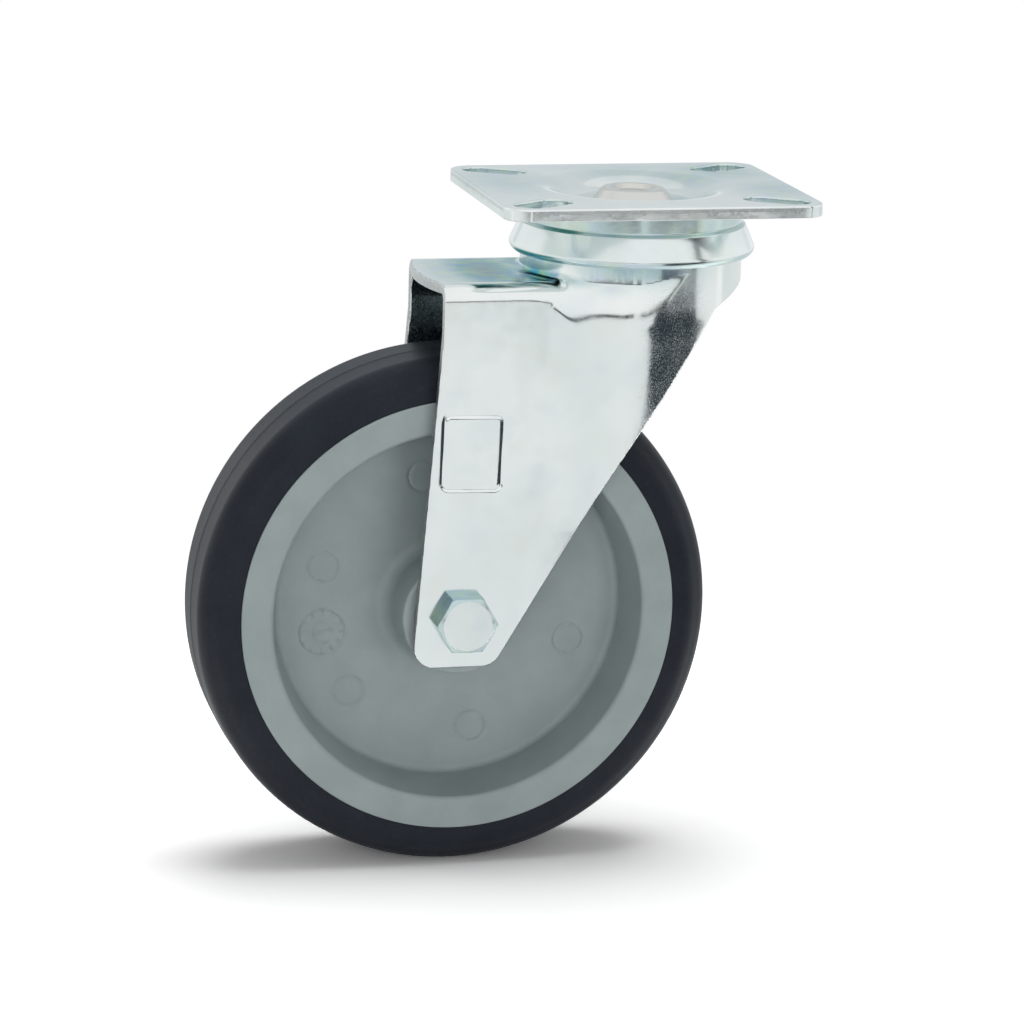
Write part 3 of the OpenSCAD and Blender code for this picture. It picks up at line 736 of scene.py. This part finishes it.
mark_faces(fork, "cut_edge", fork_cut)
x, y, z = fork_points.T
across = np.abs(y)
inner_skin = fork_skin(x, y, z) < -fork_thickness / 2
bulge = ease((x + 8) / 8) * ease((-16 - z) / 6) * ease((z + 78) / 20) * ease((across - 19) / 3)
bridge_fold = ease((-14 - x) / 6) * bell(z + 20.6, 0.6) * ease(across - 15.5)
beside_skirt = paint_film(fork_points, [((-24, -12, -19.6), (6, 9, 2.2), 0.9)])
on_side = across > 19
along_ridge = ease((x + 26) / 3) * ease((6 - x) / 4) * bell(z - ridge_line(x, across) - 0.3, 1.1) * on_side
along_bend = ease((-22 - x) / 3) * bell(z + 24, 0.9) * on_side
drawn = 0.9 * inner_skin + bulge + 0.5 * bridge_fold + beside_skirt + 1.3 * along_ridge + 1.1 * along_bend
mark(fork, "drawn", drawn)

# Film patches on the bridge. Above 1, in the middle of the bridge and beside the skirt, they paint a dark
# shade that stands for a dark reflection.
bridge_film_and_shade = paint_film(fork_points, [
    ((-36, 0, -20), (9, 24, 3), 1.45), ((-46, 0, -20), (6, 24, 3), 0.45),
    ((-24, 10, -19.8), (7, 14, 1.6), 1.2), ((-25, -8, -19.4), (7, 12, 2.0), 1.0)])
side_film = paint_film(fork_points, [
    ((-17, -20, -19.5), (8, 5, 1.4), 0.35), ((-7, -26, -15.6), (17, 8, 3.9), 0.55),
    ((-11, -24.5, -20.5), (6, 4, 2), 0.2), ((-38, -20, -26), (9, 2, 2), 0.06),
    ((-20, -21, -40), (12, 3, 14), 0.05), ((-38, -20, -75), (12, 2, 20), 0.02),
    ((-14, -23, -55), (5, 5, 22), 0.05)])
# This film mark also carries the painted shade, wherever it is above 1.
mark(fork, "film", ease((16.6 - across) / 1.5) * bridge_film_and_shade + side_film + 0.15 * inner_skin)
print("rough points on the fork:", int((drawn > 0.5).sum()), "of", len(drawn))

# %% [markdown]
# The top plate is pressed from 3 mm sheet with a round dish in the middle, where the rivet
# sits. Its four slots are cut at a slant, so that one plate fits several bolt patterns. A
# box with a Boolean for each slot would give the holes, but the dish's soft slope and the
# evenly rounded cut edges come more simply from distances, so the same net draws it. The
# upper half of a punched edge is rubbed bright, which a mark on its faces keeps.

# %% Draw the top plate
plate_half, plate_corner, plate_thickness = (38.5, 33.5), 6.0, 3.0
slot_place, slot_angle, slot_travel, slot_half = (28.3, 24.8), math.radians(34), 7.6, 4.25
rivet_hole = 6.05
dish_line = rounded([(60, 0, 0), (20.49, 0, 13), (14.99, -3.5, 7), (0, -3.5, 0)], steps=16)[::-1]
dish_radii = np.linspace(0, 60, 1201)
dish_slope = np.gradient(np.interp(dish_radii, *dish_line.T), 0.05)


def dish_distance(radius, z):
    """Distance above the plate's dished top face."""
    slope = np.interp(radius, dish_radii, dish_slope)
    return (z - np.interp(radius, *dish_line.T)) / np.sqrt(1 + slope * slope)


def slot_distance(x, y):
    """Distance to the nearest of the four slanted slots."""
    a, b = turned(np.abs(x) - slot_place[0], np.abs(y) - slot_place[1], slot_angle)
    return np.hypot(np.maximum(np.abs(a) - slot_travel / 2, 0), b) - slot_half


def plate_cut(x, y):
    """Distance outside the blank's cut edges."""
    return np.maximum(box_distance(x, y, plate_half, plate_corner), -slot_distance(x, y))


def plate_field(x, y, z):
    """Distance outside the top plate."""
    radius = np.hypot(x, y)
    above = dish_distance(radius, z)
    cut = np.maximum(plate_cut(x, y), rivet_hole - radius)
    top_edge = round_max(above, cut, 0.45)
    return np.maximum(top_edge, round_max(-above - plate_thickness, cut, 0.15))


plate_step = 0.36
plate, plate_points = pressed_piece(
    "dished_plate", plate_field, (-39.5, -34.5, -7.3), (39.5, 34.5, 0.8), plate_step,
    "head", "zinc_plate", ["top_plate"], keep=0.5)
x, y, z = plate_points.T
straight_half = [half - plate_corner + 0.1 for half in plate_half]


def plate_burnish(x, y, z, facing):
    """The upper half of the plate's straight cut edges, where the punch rubbed it."""
    on_edge = (facing[:, 2] < 0.5) & (box_distance(x, y, plate_half, plate_corner) > -0.3)
    straight = [ease((half - np.abs(a)) / 0.6) for half, a in zip(straight_half, (x, y))]
    return 0.42 * on_edge * np.maximum(*straight) * ease((z + 1.75) / 0.25) * ease((-0.35 - z) / 0.2)


mark_faces(plate, "cut_edge", plate_burnish)
in_slot = ease(1 - (slot_distance(x, y) - 0.1) / 0.4)
plate_film = paint_film(plate_points, [
    ((26, 18, 0), (16, 16, 3), 0.55), ((33, -8, 0), (12, 16, 3), 0.45), ((11, -6, -3), (9, 8, 4), 0.40),
    ((-30, 8, 0), (12, 22, 3), 0.38), ((4, 26, 0), (20, 8, 3), 0.32)])
mark(plate, "film", np.maximum(0.22 * in_slot, plate_film))

# %% [markdown]
# Many pieces are bodies of revolution. A Screw modifier could turn their sections; here a
# short helper does it, as a lathe would, because the points stay in known rows that can be
# marked and moved. The head's pieces spin round the upright swivel axis and the wheel's
# round the axle. A Weighted Normal modifier then keeps the flat faces looking flat beside
# their small arcs.


# %% Spin a section round its axis
def spin(profile, turns=180, around_axle=False):
    """Points and faces of a profile of (radius, height) points spun round its axis."""
    profile = np.asarray(profile, float)
    open_line = profile[0][0] < 1e-6 or profile[-1][0] < 1e-6
    angle = np.arange(turns) * 2 * math.pi / turns
    radius, height = profile[:, :1], profile[:, 1:2]
    across, along = radius * np.cos(angle), radius * np.sin(angle)
    if around_axle:
        points = np.stack((axle[0] + across, height + 0 * angle, axle[2] + along), -1)
    else:
        points = np.stack((across, along, height + 0 * angle), -1)
    rows = len(profile)
    faces = []
    for i in range(rows - 1 if open_line else rows):
        a, b = i * turns, (i + 1) % rows * turns
        for j in range(turns):
            k = (j + 1) % turns
            faces.append((a + j, a + k, b + k, b + j))
    return points.reshape(-1, 3), faces


def close_up(obj, sharp=40):
    """Join doubled points, turn faces outwards, and let broad faces lead the shading."""
    mesh = bmesh.new()
    mesh.from_mesh(obj.data)
    bmesh.ops.remove_doubles(mesh, verts=mesh.verts, dist=1e-6)
    bmesh.ops.recalc_face_normals(mesh, faces=mesh.faces)
    mesh.to_mesh(obj.data)
    mesh.free()
    obj.data.set_sharp_from_angle(angle=math.radians(sharp))
    obj.modifiers.new("even shading", "WEIGHTED_NORMAL").keep_sharp = True
    return obj


def sheet_line(line, thickness):
    """A closed profile of sheet metal: the line and its copy, offset to the left."""
    line = np.asarray(line, float)
    side = np.array([unit(b - a) for a, b in zip(line[:-1], line[1:])])
    side = np.stack((-side[:, 1], side[:, 0]), 1)
    offset = []
    for i, p in enumerate(line):
        a, b = side[max(i - 1, 0)], side[min(i, len(side) - 1)]
        offset.append(p + (a + b) * thickness / (1 + a @ b))
    return np.concatenate((line, offset[::-1]))


tube_points, tube_faces = spin([(4, 0), (4, 9), (3, 9), (3, 0)], turns=12)
print("a test tube has", len(tube_points), "points and", len(tube_faces), "faces")

# %% [markdown]
# The skirt under the plate is a drawn ring: a plain band with a small bead, then a flared
# lip curled at its end. It is sheet metal, so only the line of its outside is drawn, and a
# copy set in by the sheet's thickness closes the section. The rivet was upset by a rotating
# tool, which left a ring-shaped top with a shallow crater. It is solid, so its section is
# drawn whole. Cylinders with bevels would give both, but not the lip's curl or the crater.

# %% Spin the skirt and the rivet
skirt_section = rounded([(17.7, -5.33, 0), (21.366, -3, 1.2), (25.99, -3, 1.5), (25.99, -7.778, 0.6),
                         (27.19, -8.378, 0.5), (29.79, -14.378, 1.6), (28.49, -15.478, 0)])
skirt = close_up(mesh_piece("flared_skirt", *spin(sheet_line(skirt_section, -1.2), 240),
                            "head", "zinc_plate", ["race_skirt"]))
skirt_points = np.array([v.co for v in skirt.data.vertices]) / MM
x, y, z = skirt_points.T
above_bead, on_lip = ease((z + 8.6) / 0.6), ease((-13.8 - z) / 0.6)
skirt_film = paint_film(skirt_points, [
    ((-16, -22, -12), (9, 9, 5), 0.08), ((14, -22, -9.5), (9, 7, 2), 0.12)])
mark(skirt, "film", 0.05 + 0.24 * (above_bead + on_lip) + skirt_film)
rivet_section = rounded([(0, -1.6, 0), (4.5, -1.6, 0.8), (5.8, -0.45, 0.5), (7.4, -0.4, 1.2),
                         (9.45, -3.1, 0.5), (9.6, -3.5, 0), (6, -3.5, 0), (6, -8.5, 0),
                         (8.58, -8.5, 0), (8.58, -12.5, 2.4), (0, -12.5, 0)])
rivet = close_up(mesh_piece("swivel_rivet", *spin(rivet_section, 160),
                            "head", "rivet_steel", ["king_rivet"]))
print("faces of the skirt and the rivet:", len(skirt.data.polygons), len(rivet.data.polygons))

# %% [markdown]
# The wheel centre is one injection moulding: a rim for the tyre, a thin web between two deep
# recesses, and a hub for the bearings. Six round ejector-pin marks and a small date dial
# with ticks and a bar are left in the web by the mould. Small meshes could be cut into the
# web with Booleans, but the marks are shallow and have soft edges. So the rows of points
# are set close together where they lie, and each point of the web is moved by a small
# height worked out from its place.

# %% Spin the wheel centre
web_half, mark_circle, mark_radius = 2.5, 32.2, 3.7
mark_angles = [math.radians(60 * i - 18.5) for i in range(6)]
dial_distance, dial_angle, dial_radius, dial_core = 31.4, math.radians(-168.4), 5.8, 2.7
tick_count, tick_middle, tick_half, bar_tilt = 12, 4.6, 0.65, math.radians(14)
pin_sink, pin_groove, dial_rise, dial_groove, tick_rise, bar_rise = 0.06, 0.32, 0.12, 0.30, 0.34, 0.42


def ring_step(distance, width=0.22):
    """1 inside an edge and 0 outside, with a soft step."""
    return 1 - ease(0.5 + distance / width)


def web_marks(x, z, with_dial):
    """Height of the mould's marks on the web, in mm, at points measured from the axle."""
    height = np.zeros_like(x)
    for angle in mark_angles:
        off = np.hypot(x - mark_circle * math.cos(angle), z - mark_circle * math.sin(angle)) - mark_radius
        height -= pin_sink * ring_step(off) + pin_groove * bell(off, 0.30)
    if with_dial:
        dx, dz = x - dial_distance * math.cos(dial_angle), z - dial_distance * math.sin(dial_angle)
        off = np.hypot(dx, dz)
        height += dial_rise * ring_step(off - dial_radius)
        for circle in (dial_radius, dial_core):
            height -= dial_groove * bell(off - circle, 0.28)
        share = np.arctan2(dz, dx) / (2 * math.pi) * tick_count % 1
        beside_tick = (0.5 - np.abs(share - 0.5)) * 2 * math.pi / tick_count * off
        height += tick_rise * (np.abs(off - tick_middle) < tick_half) * bell(beside_tick, 0.26)
        along, beside = turned(dx, dz, bar_tilt)
        height += bar_rise * (np.abs(along) < dial_core - 0.8) * bell(beside, 0.42)
    return height


hub_part = [(8.4, 9, 0), (11, 9, 0), (11, 16.7, 0.4), (14, 16.7, 0.8), (14.6, 2.5, 3.5)]
web_part = [(float(r), 2.5, 0) for r in np.arange(25.2, 37.5, 0.3)]
rim_part = [(42.4, 2.5, 1.8), (45.2, 16, 1.2), (52.8, 16, 0.3), (52.8, 13, 0.8), (50, 13, 0.8), (50, 0.1, 0)]
half_section = rounded([(8.4, 0.1, 0)] + hub_part + web_part + rim_part, steps=6)
section = np.concatenate((half_section, half_section[::-1] * (1, -1)))
points, faces = spin(section, 480, around_axle=True)
off_axle = points - axle
for side, with_dial in ((-1, True), (1, False)):
    web = np.abs(off_axle[:, 1] * side - web_half) < 1e-6
    points[web, 1] += side * web_marks(-side * off_axle[web, 0], off_axle[web, 2], with_dial)
wheel_centre = close_up(mesh_piece("wheel_moulding", points, faces, "wheel", "moulded_grey",
                                   ["wheel_rim", "wheel_web", "wheel_hub"]))
print("faces of the wheel centre:", len(wheel_centre.data.polygons))

# %% [markdown]
# The tyre is soft rubber moulded onto the rim. It is nearly square in section with rounded
# shoulders, and the mould's halves left a thin line of flash round the tread. A torus would
# be too round for it, so half of its section is drawn, mirrored and spun.

# %% Spin the tyre
flash_radius, tread_radius = 62.5, 62.35
tyre_half = rounded([(50, 0, 0), (50, 13, 0.8), (52.8, 13, 0.8), (52.8, 15.7, 0.3), (57.5, 15.1, 6),
                     (tread_radius, 11, 6), (tread_radius, 0.5, 0)], steps=12)
tyre_section = np.concatenate((tyre_half, [(flash_radius, 0)], tyre_half[::-1] * (1, -1)))[:-1]
tyre = close_up(mesh_piece("soft_tyre", *spin(tyre_section, 300, around_axle=True),
                           "wheel", "tyre_dark", ["tyre"]), sharp=50)
print("faces of the tyre:", len(tyre.data.polygons))

# %% [markdown]
# The axle is a hexagon bolt with a lock nut. The bevel that rounds a bolt head off is a cone
# cut through the hexagon, and the thread is a ridge that climbs round the shank. Booleans
# and a Screw modifier could make them, but both are easy to state as distances, so the same
# net draws them, with a little rounding on every edge.

# %% Shape the bolt and the nut
across_flats, head_height, shank_radius = 13.0, 5.3, 3.95
bevel_radius, bevel_slope = across_flats * 0.455, math.radians(30)
thread_pitch, thread_depth, thread_start, shank_end = 1.25, 0.55, 17.5, 29.8
nut_hexagon, nut_height, collar_radius = 6.0, 8.0, 5.8
nut_bore, ring_bore, lip_bore, ring_start, ring_end = 4.0, 4.9, 4.2, 5.5, 7.5
bolt_room = 7.9


def hexagon(a, b, flats):
    """Distance to a hexagon with a corner along the first direction."""
    reach = [np.abs(a * math.sin(t) + b * math.cos(t)) for t in (0, math.pi / 3, -math.pi / 3)]
    return np.maximum.reduce(reach) - flats / 2


def bevelled_hexagon(x, z, height, top):
    """A hexagon of a height above its seat, with the cone that bevels its corners."""
    a, b = x - axle[0], z - axle[2]
    radius = np.hypot(a, b)
    cone = (height - top) * math.cos(bevel_slope) + (radius - bevel_radius) * math.sin(bevel_slope)
    bevelled = round_max(hexagon(a, b, across_flats), np.maximum(cone, height - top), 0.12)
    return round_max(bevelled, -height, 0.1)


def bolt_field(x, y, z):
    """Distance outside the bolt: its head, its shank and the thread at its end."""
    a, b = x - axle[0], z - axle[2]
    head = bevelled_hexagon(x, z, -leg_face - y, head_height)
    radius = np.hypot(a, b)
    climb = np.abs((y / thread_pitch + np.arctan2(b, a) / (2 * math.pi)) % 1 - 0.5) * 2
    thread = thread_depth * (1 - climb) * ease((y - thread_start) / 1.5)
    shank = np.maximum(radius - shank_radius + thread, -leg_face - 1 - y)
    shank = round_max(shank, y - shank_end, 0.6)
    return np.minimum(head, shank)


def nut_field(x, y, z):
    """Distance outside the lock nut, which has a collar for its nylon ring."""
    radius = np.hypot(x - axle[0], z - axle[2])
    hexed = bevelled_hexagon(x, z, y - leg_face, nut_hexagon)
    collar = round_max(radius - collar_radius, y - leg_face - nut_height, 1.1)
    solid = soft_min(hexed, np.maximum(collar, leg_face + 1 - y), 0.4)
    bore = np.where(y > leg_face + ring_start, ring_bore, nut_bore)
    bore = np.where(y > leg_face + ring_end, lip_bore, bore)
    return np.maximum(np.maximum(solid, bore - radius), leg_face - y)


print("middle of the bolt's head in its metal:", bool(bolt_field(axle[0], -23.0, axle[2]) < 0))

# %% [markdown]
# Such small pieces need a finer net than the fork: a step of a sixth of a millimetre shows
# the thread and the bevel. One coarse net with a Subdivision modifier would round the edges
# away. The film is marked where it shows most, on the flats and the bevel of the bolt's
# head; the end face is rubbed clear.


# %% Draw the bolt and the nut
def axle_box(start, end):
    """Two corners of a box round the axle, from one place along it to another."""
    low, high = axle - bolt_room, axle + bolt_room
    return (low[0], start, low[2]), (high[0], end, high[2])


fine_step = 0.17
bolt, bolt_points = pressed_piece("hexagon_bolt", bolt_field, *axle_box(-26, 30.3), fine_step,
                                  "swivel", "zinc_plate", ["axle_bolt"], keep=0.6)
head_radius = np.hypot(bolt_points[:, 0] - axle[0], bolt_points[:, 2] - axle[2])
head_depth = -leg_face - bolt_points[:, 1]
on_flats = (head_radius > 6.3) * (head_depth > 0) * (head_depth < 4.6)
on_bevel = (head_radius > 5.98) * (head_depth >= 4.6)
mark(bolt, "film", 0.6 * on_flats + 0.3 * on_bevel)
nut, _ = pressed_piece("lock_nut_fine", nut_field, *axle_box(19.7, 28.7), fine_step,
                       "swivel", "zinc_plate", ["lock_nut"], keep=0.6)

# %% [markdown]
# Now the finishes. Zinc plating is bright and slightly cloudy: the thin passivated film over
# it shifts towards blue, teal and straw in patches, and it is scattered with fine specks. An
# image texture would need every piece unwrapped, while noise laid through space suits any
# shape from any side. Several pieces share that look, so the film is one node group with named
# inputs, placed in each material with its own values. It puts out a colour, a roughness and
# a height, and the shader itself stays in the material. Where a film value goes above 1, the
# group also paints shade: the colour turns towards a dark teal, a painted dark reflection.


# %% Make the film of the plating
def linear(c):
    """One screen value (0 to 255) as the linear value that Blender mixes."""
    return ((c / 255 + 0.055) / 1.055) ** 2.4 if c > 10 else c / 255 / 12.92


def tone(red, green, blue):
    """A colour picked on a screen, with each part from 0 to 255."""
    return (linear(red), linear(green), linear(blue), 1)


def start_group(name, inputs, outputs):
    """A shader node group with named sockets; returns the tree, its input and its output."""
    group = bpy.data.node_groups.new(name, "ShaderNodeTree")
    for label, kind, value in inputs:
        group.interface.new_socket(label, in_out="INPUT", socket_type=kind).default_value = value
    for label, kind in outputs:
        group.interface.new_socket(label, in_out="OUTPUT", socket_type=kind)
    return group, group.nodes.new("NodeGroupInput"), group.nodes.new("NodeGroupOutput")


def noise(tree, place, size, detail, rough, stretch=(1, 1, 1)):
    """Noise with patches of a size in mm, which may be stretched along an axis."""
    mapping = new_node(tree, "ShaderNodeMapping")
    mapping.inputs["Scale"].default_value = [1 / (size * s * MM) for s in stretch]
    tree.links.new(place, mapping.inputs["Vector"])
    made = new_node(tree, "ShaderNodeTexNoise", Scale=1.0, Detail=detail, Roughness=rough)
    tree.links.new(mapping.outputs[0], made.inputs["Vector"])
    return made.outputs["Fac"]


film, film_in, film_out = start_group(
    "zinc film",
    [("Position", "NodeSocketVector", (0, 0, 0)), ("Metal", "NodeSocketColor", tone(222, 226, 223)),
     ("Tint", "NodeSocketFloat", 0.5), ("Film And Shade", "NodeSocketFloat", 0.0), ("Specks", "NodeSocketFloat", 0.5),
     ("Base Roughness", "NodeSocketFloat", 0.2), ("Grain", "NodeSocketFloat", 0.06)],
    [("Color", "NodeSocketColor"), ("Roughness", "NodeSocketFloat"), ("Height", "NodeSocketFloat")])
where = film_in.outputs["Position"]
wide = noise(film, where, 26, 2, 0.5)
cloudy = noise(film, where, 11, 3, 0.5)
streaky = noise(film, where, 5, 3, 0.5, stretch=(1.4, 1, 1))
colour = film_in.outputs["Metal"]
for share, cloud in ((band(film, wide, 0.40, 0.66), tone(196, 210, 212)),
                     (band(film, cloudy, 0.52, 0.72), tone(205, 214, 224)),
                     (band(film, cloudy, 0.46, 0.28), tone(222, 222, 212))):
    colour = blend(film, math_node(film, "MULTIPLY", share, film_in.outputs["Tint"]), colour, cloud)
hue = blend(film, band(film, streaky, 0.36, 0.52), tone(112, 170, 138), tone(12, 146, 160))
hue = blend(film, band(film, streaky, 0.54, 0.66), hue, tone(34, 128, 188))
# Painted shade: film values from 1 to 2 turn the colour towards a dark teal, which stands for a dark
# reflection.
hue = blend(film, band(film, film_in.outputs["Film And Shade"], 1.0, 2.0), hue, tone(16, 66, 68))
colour = blend(film, math_node(film, "MINIMUM", film_in.outputs["Film And Shade"], 1.0), colour, hue)
grit = noise(film, where, 0.20, 2, 0.6)
specks = math_node(film, "MULTIPLY", band(film, grit, 0.68, 0.76), film_in.outputs["Specks"])
colour = blend(film, math_node(film, "MULTIPLY", specks, 0.6), colour, tone(120, 126, 126))
patchy = noise(film, where, 6, 3, 0.5)
scuffed = math_node(film, "MULTIPLY", band(film, grit, 0.52, 0.66, 0, 0.25), film_in.outputs["Grain"])
rough = film_in.outputs["Base Roughness"]
for more in (band(film, patchy, 0.3, 0.7, -0.04, 0.05), math_node(film, "MULTIPLY", specks, 0.2), scuffed):
    rough = math_node(film, "ADD", rough, more)
gritty = math_node(film, "MULTIPLY", band(film, grit, 0, 1, 0, 0.16), film_in.outputs["Grain"])
height = math_node(film, "ADD", gritty, math_node(film, "MULTIPLY", patchy, 0.90))
for made, name in ((colour, "Color"), (rough, "Roughness"), (height, "Height")):
    film.links.new(made, film_out.inputs[name])
print("film inputs:", [socket.name for socket in film_in.outputs if socket.name])

# %% [markdown]
# Moulded plastic and rubber copy the fine texture of their mould, flow a little lighter and
# darker, and pick up dust. That is a second group, built in the same way.

# %% Make the grain of the moulded pieces
pale_dust = tone(190, 190, 184)
grain, grain_in, grain_out = start_group(
    "moulded grain",
    [("Position", "NodeSocketVector", (0, 0, 0)), ("Light", "NodeSocketColor", (0.3, 0.3, 0.3, 1)),
     ("Dark", "NodeSocketColor", (0.2, 0.2, 0.2, 1)), ("Base Roughness", "NodeSocketFloat", 0.5),
     ("Dust", "NodeSocketFloat", 0.1), ("Dust Color", "NodeSocketColor", pale_dust)],
    [("Color", "NodeSocketColor"), ("Roughness", "NodeSocketFloat"), ("Height", "NodeSocketFloat")])
where = grain_in.outputs["Position"]
fine = noise(grain, where, 0.18, 3, 0.6)
flow = noise(grain, where, 9, 4, 0.5)
colour = blend(grain, band(grain, flow, 0.35, 0.65), grain_in.outputs["Dark"], grain_in.outputs["Light"])
dusty = band(grain, noise(grain, where, 1.1, 5, 0.7), 0.52, 0.72)
dust = math_node(grain, "MULTIPLY", dusty, grain_in.outputs["Dust"])
colour = blend(grain, dust, colour, grain_in.outputs["Dust Color"])
rough = math_node(grain, "ADD", grain_in.outputs["Base Roughness"], band(grain, fine, 0.3, 0.7, -0.05, 0.08))
for made, name in ((colour, "Color"), (rough, "Roughness"), (fine, "Height")):
    grain.links.new(made, grain_out.inputs[name])
print("node groups:", [g.name for g in bpy.data.node_groups])

# %% [markdown]
# A finish joins a group to a Principled shader. Metal gets the film; rubber and plastic get
# the moulded grain. Each finish could be built from nothing, but then a change to the film
# would have to be made five times. Cut edges of the sheet are a different surface: the
# punch burnishes one part and tears the rest, and the plating is thinner there. The mark
# stored on the faces of the fork and the plate says where they are.


# %% Join a group to a shader
def start_finish(name):
    """A material with a Principled shader and the piece's own coordinates."""
    mat = bpy.data.materials.new(name)
    tree = node_tree(mat)
    surface = new_node(tree, "ShaderNodeBsdfPrincipled")
    tree.links.new(surface.outputs[0], new_node(tree, "ShaderNodeOutputMaterial").inputs["Surface"])
    return mat, tree, surface, new_node(tree, "ShaderNodeTexCoord").outputs["Object"]


def use_group(tree, group, position, **values):
    """Place a shared group with its own values."""
    made = new_node(tree, "ShaderNodeGroup")
    made.node_tree = group
    tree.links.new(position, made.inputs["Position"])
    for name, value in values.items():
        made.inputs[name.replace("_", " ")].default_value = value
    return made


def read_mark(tree, name):
    """A mark stored on the mesh, which is 0 where the mesh has none."""
    return new_node(tree, "ShaderNodeAttribute", attribute_name=name).outputs["Fac"]


def raise_surface(tree, surface, height, depth):
    """Let a height disturb the surface, by a depth in mm."""
    bump = new_node(tree, "ShaderNodeBump", Distance=depth * MM)
    tree.links.new(height, bump.inputs["Height"])
    tree.links.new(bump.outputs[0], surface.inputs["Normal"])


def metal_finish(name, metal, tint, specks, roughness, depth, cut=None):
    """Plated or bare steel; cut is the tone of its sheared edges, on a mesh with marks."""
    mat, tree, surface, where = start_finish(name)
    made = use_group(tree, film, where, Metal=metal, Tint=tint, Specks=specks, Base_Roughness=roughness)
    colour, rough = made.outputs["Color"], made.outputs["Roughness"]
    surface.inputs["Metallic"].default_value = 1.0
    if cut:
        edge = read_mark(tree, "cut_edge")
        torn = band(tree, noise(tree, where, 0.30, 4, 0.7, stretch=(1, 1, 1.5)), 0.36, 0.66)
        colour = blend(tree, edge, colour, blend(tree, torn, cut, tone(214, 218, 218)))
        rough = blend(tree, edge, rough, (0.4, 0.4, 0.4, 1))
        # The film mark, whose values above 1 paint a dark shade.
        plug(tree, read_mark(tree, "film"), made.inputs["Film And Shade"])
        plug(tree, band(tree, read_mark(tree, "drawn"), 0, 1, 0.05, 1.0), made.inputs["Grain"])
    tree.links.new(colour, surface.inputs["Base Color"])
    tree.links.new(rough, surface.inputs["Roughness"])
    raise_surface(tree, surface, made.outputs["Height"], depth)
    return mat


def moulded_finish(name, light, dark, roughness, dust, dust_tone=pale_dust, depth=0.02, shine=0.5):
    """Plastic or rubber with its grain and a little dust; shine is 0.5 on plain plastic."""
    mat, tree, surface, where = start_finish(name)
    surface.inputs["Specular IOR Level"].default_value = shine
    made = use_group(tree, grain, where, Light=light, Dark=dark, Base_Roughness=roughness, Dust=dust,
                     Dust_Color=dust_tone)
    tree.links.new(made.outputs["Color"], surface.inputs["Base Color"])
    tree.links.new(made.outputs["Roughness"], surface.inputs["Roughness"])
    raise_surface(tree, surface, made.outputs["Height"], depth)
    return mat


print("recipes:", [recipe.__name__ for recipe in (metal_finish, moulded_finish)])

# %% [markdown]
# With those two recipes every finish is one line of values. The sheet is the brightest and
# smoothest; the skirt and the bolt are a little duller. The rivet is bare, warm steel with
# many specks. Colours could be picked straight from the photograph, but it already holds
# the studio's light. So the wheel's grey and the tyre's blue-black were set by comparing
# renders with it.

# %% Mix the finishes
sheared = tone(124, 122, 118)
sheet_zinc = metal_finish("plated sheet", tone(236, 240, 239), 0.2, 0.25, 0.11, 0.03, cut=sheared)
satin_zinc = metal_finish("satin plated sheet", tone(232, 238, 236), 0.3, 0.4, 0.19, 0.05, cut=sheared)
turned_zinc = metal_finish("plated bolt", tone(234, 238, 236), 0.3, 0.35, 0.20, 0.008, cut=sheared)
rivet_steel = metal_finish("upset rivet", tone(213, 212, 208), 0.15, 0.9, 0.26, 0.03)
ball_steel = metal_finish("polished steel", tone(205, 207, 208), 0.05, 0.1, 0.12, 0.002)
grey_plastic = moulded_finish("grey wheel plastic", tone(147, 159, 159), tone(141, 153, 153), 0.42, 0.04)
dark_rubber = moulded_finish("dark tyre rubber", tone(29, 34, 43), tone(24, 29, 38), 0.42, 0.03,
                             dust_tone=tone(120, 124, 124), shine=0.18)
blue_nylon = moulded_finish("blue nylon", tone(70, 110, 190), tone(58, 96, 176), 0.35, 0.05)
pale_nylon = moulded_finish("natural nylon", tone(226, 220, 205), tone(218, 212, 196), 0.4, 0.05)
finish_of_slot = {"zinc_plate": sheet_zinc, "rivet_steel": rivet_steel, "bearing_steel": ball_steel,
                  "moulded_grey": grey_plastic, "tyre_dark": dark_rubber, "nylon_blue": blue_nylon,
                  "nylon_natural": pale_nylon}
print("finishes:", sorted(finish_of_slot))

# %% [markdown]
# Each piece takes the finish of its material slot. Every piece could be given its finish by
# name, but a table from slots to finishes also dresses the solids that are still shown, such
# as the balls, rings and spacers inside. Only the skirt and the bolt have a finish of their
# own, because they were drawn and turned with a duller surface.

# %% Dress every piece
slot_of_node = {part["node"]: part["material_slot"] for part in frame["record"]["subparts"]}
for name, obj in frame["nodes"].items():
    obj.data.materials.clear()
    obj.data.materials.append(finish_of_slot[slot_of_node[name]])
for obj in (fork, plate, rivet, wheel_centre, tyre):
    obj.data.materials.append(finish_of_slot[obj["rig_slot"]])
skirt.data.materials.append(satin_zinc)
for obj in (bolt, nut):
    obj.data.materials.append(turned_zinc)
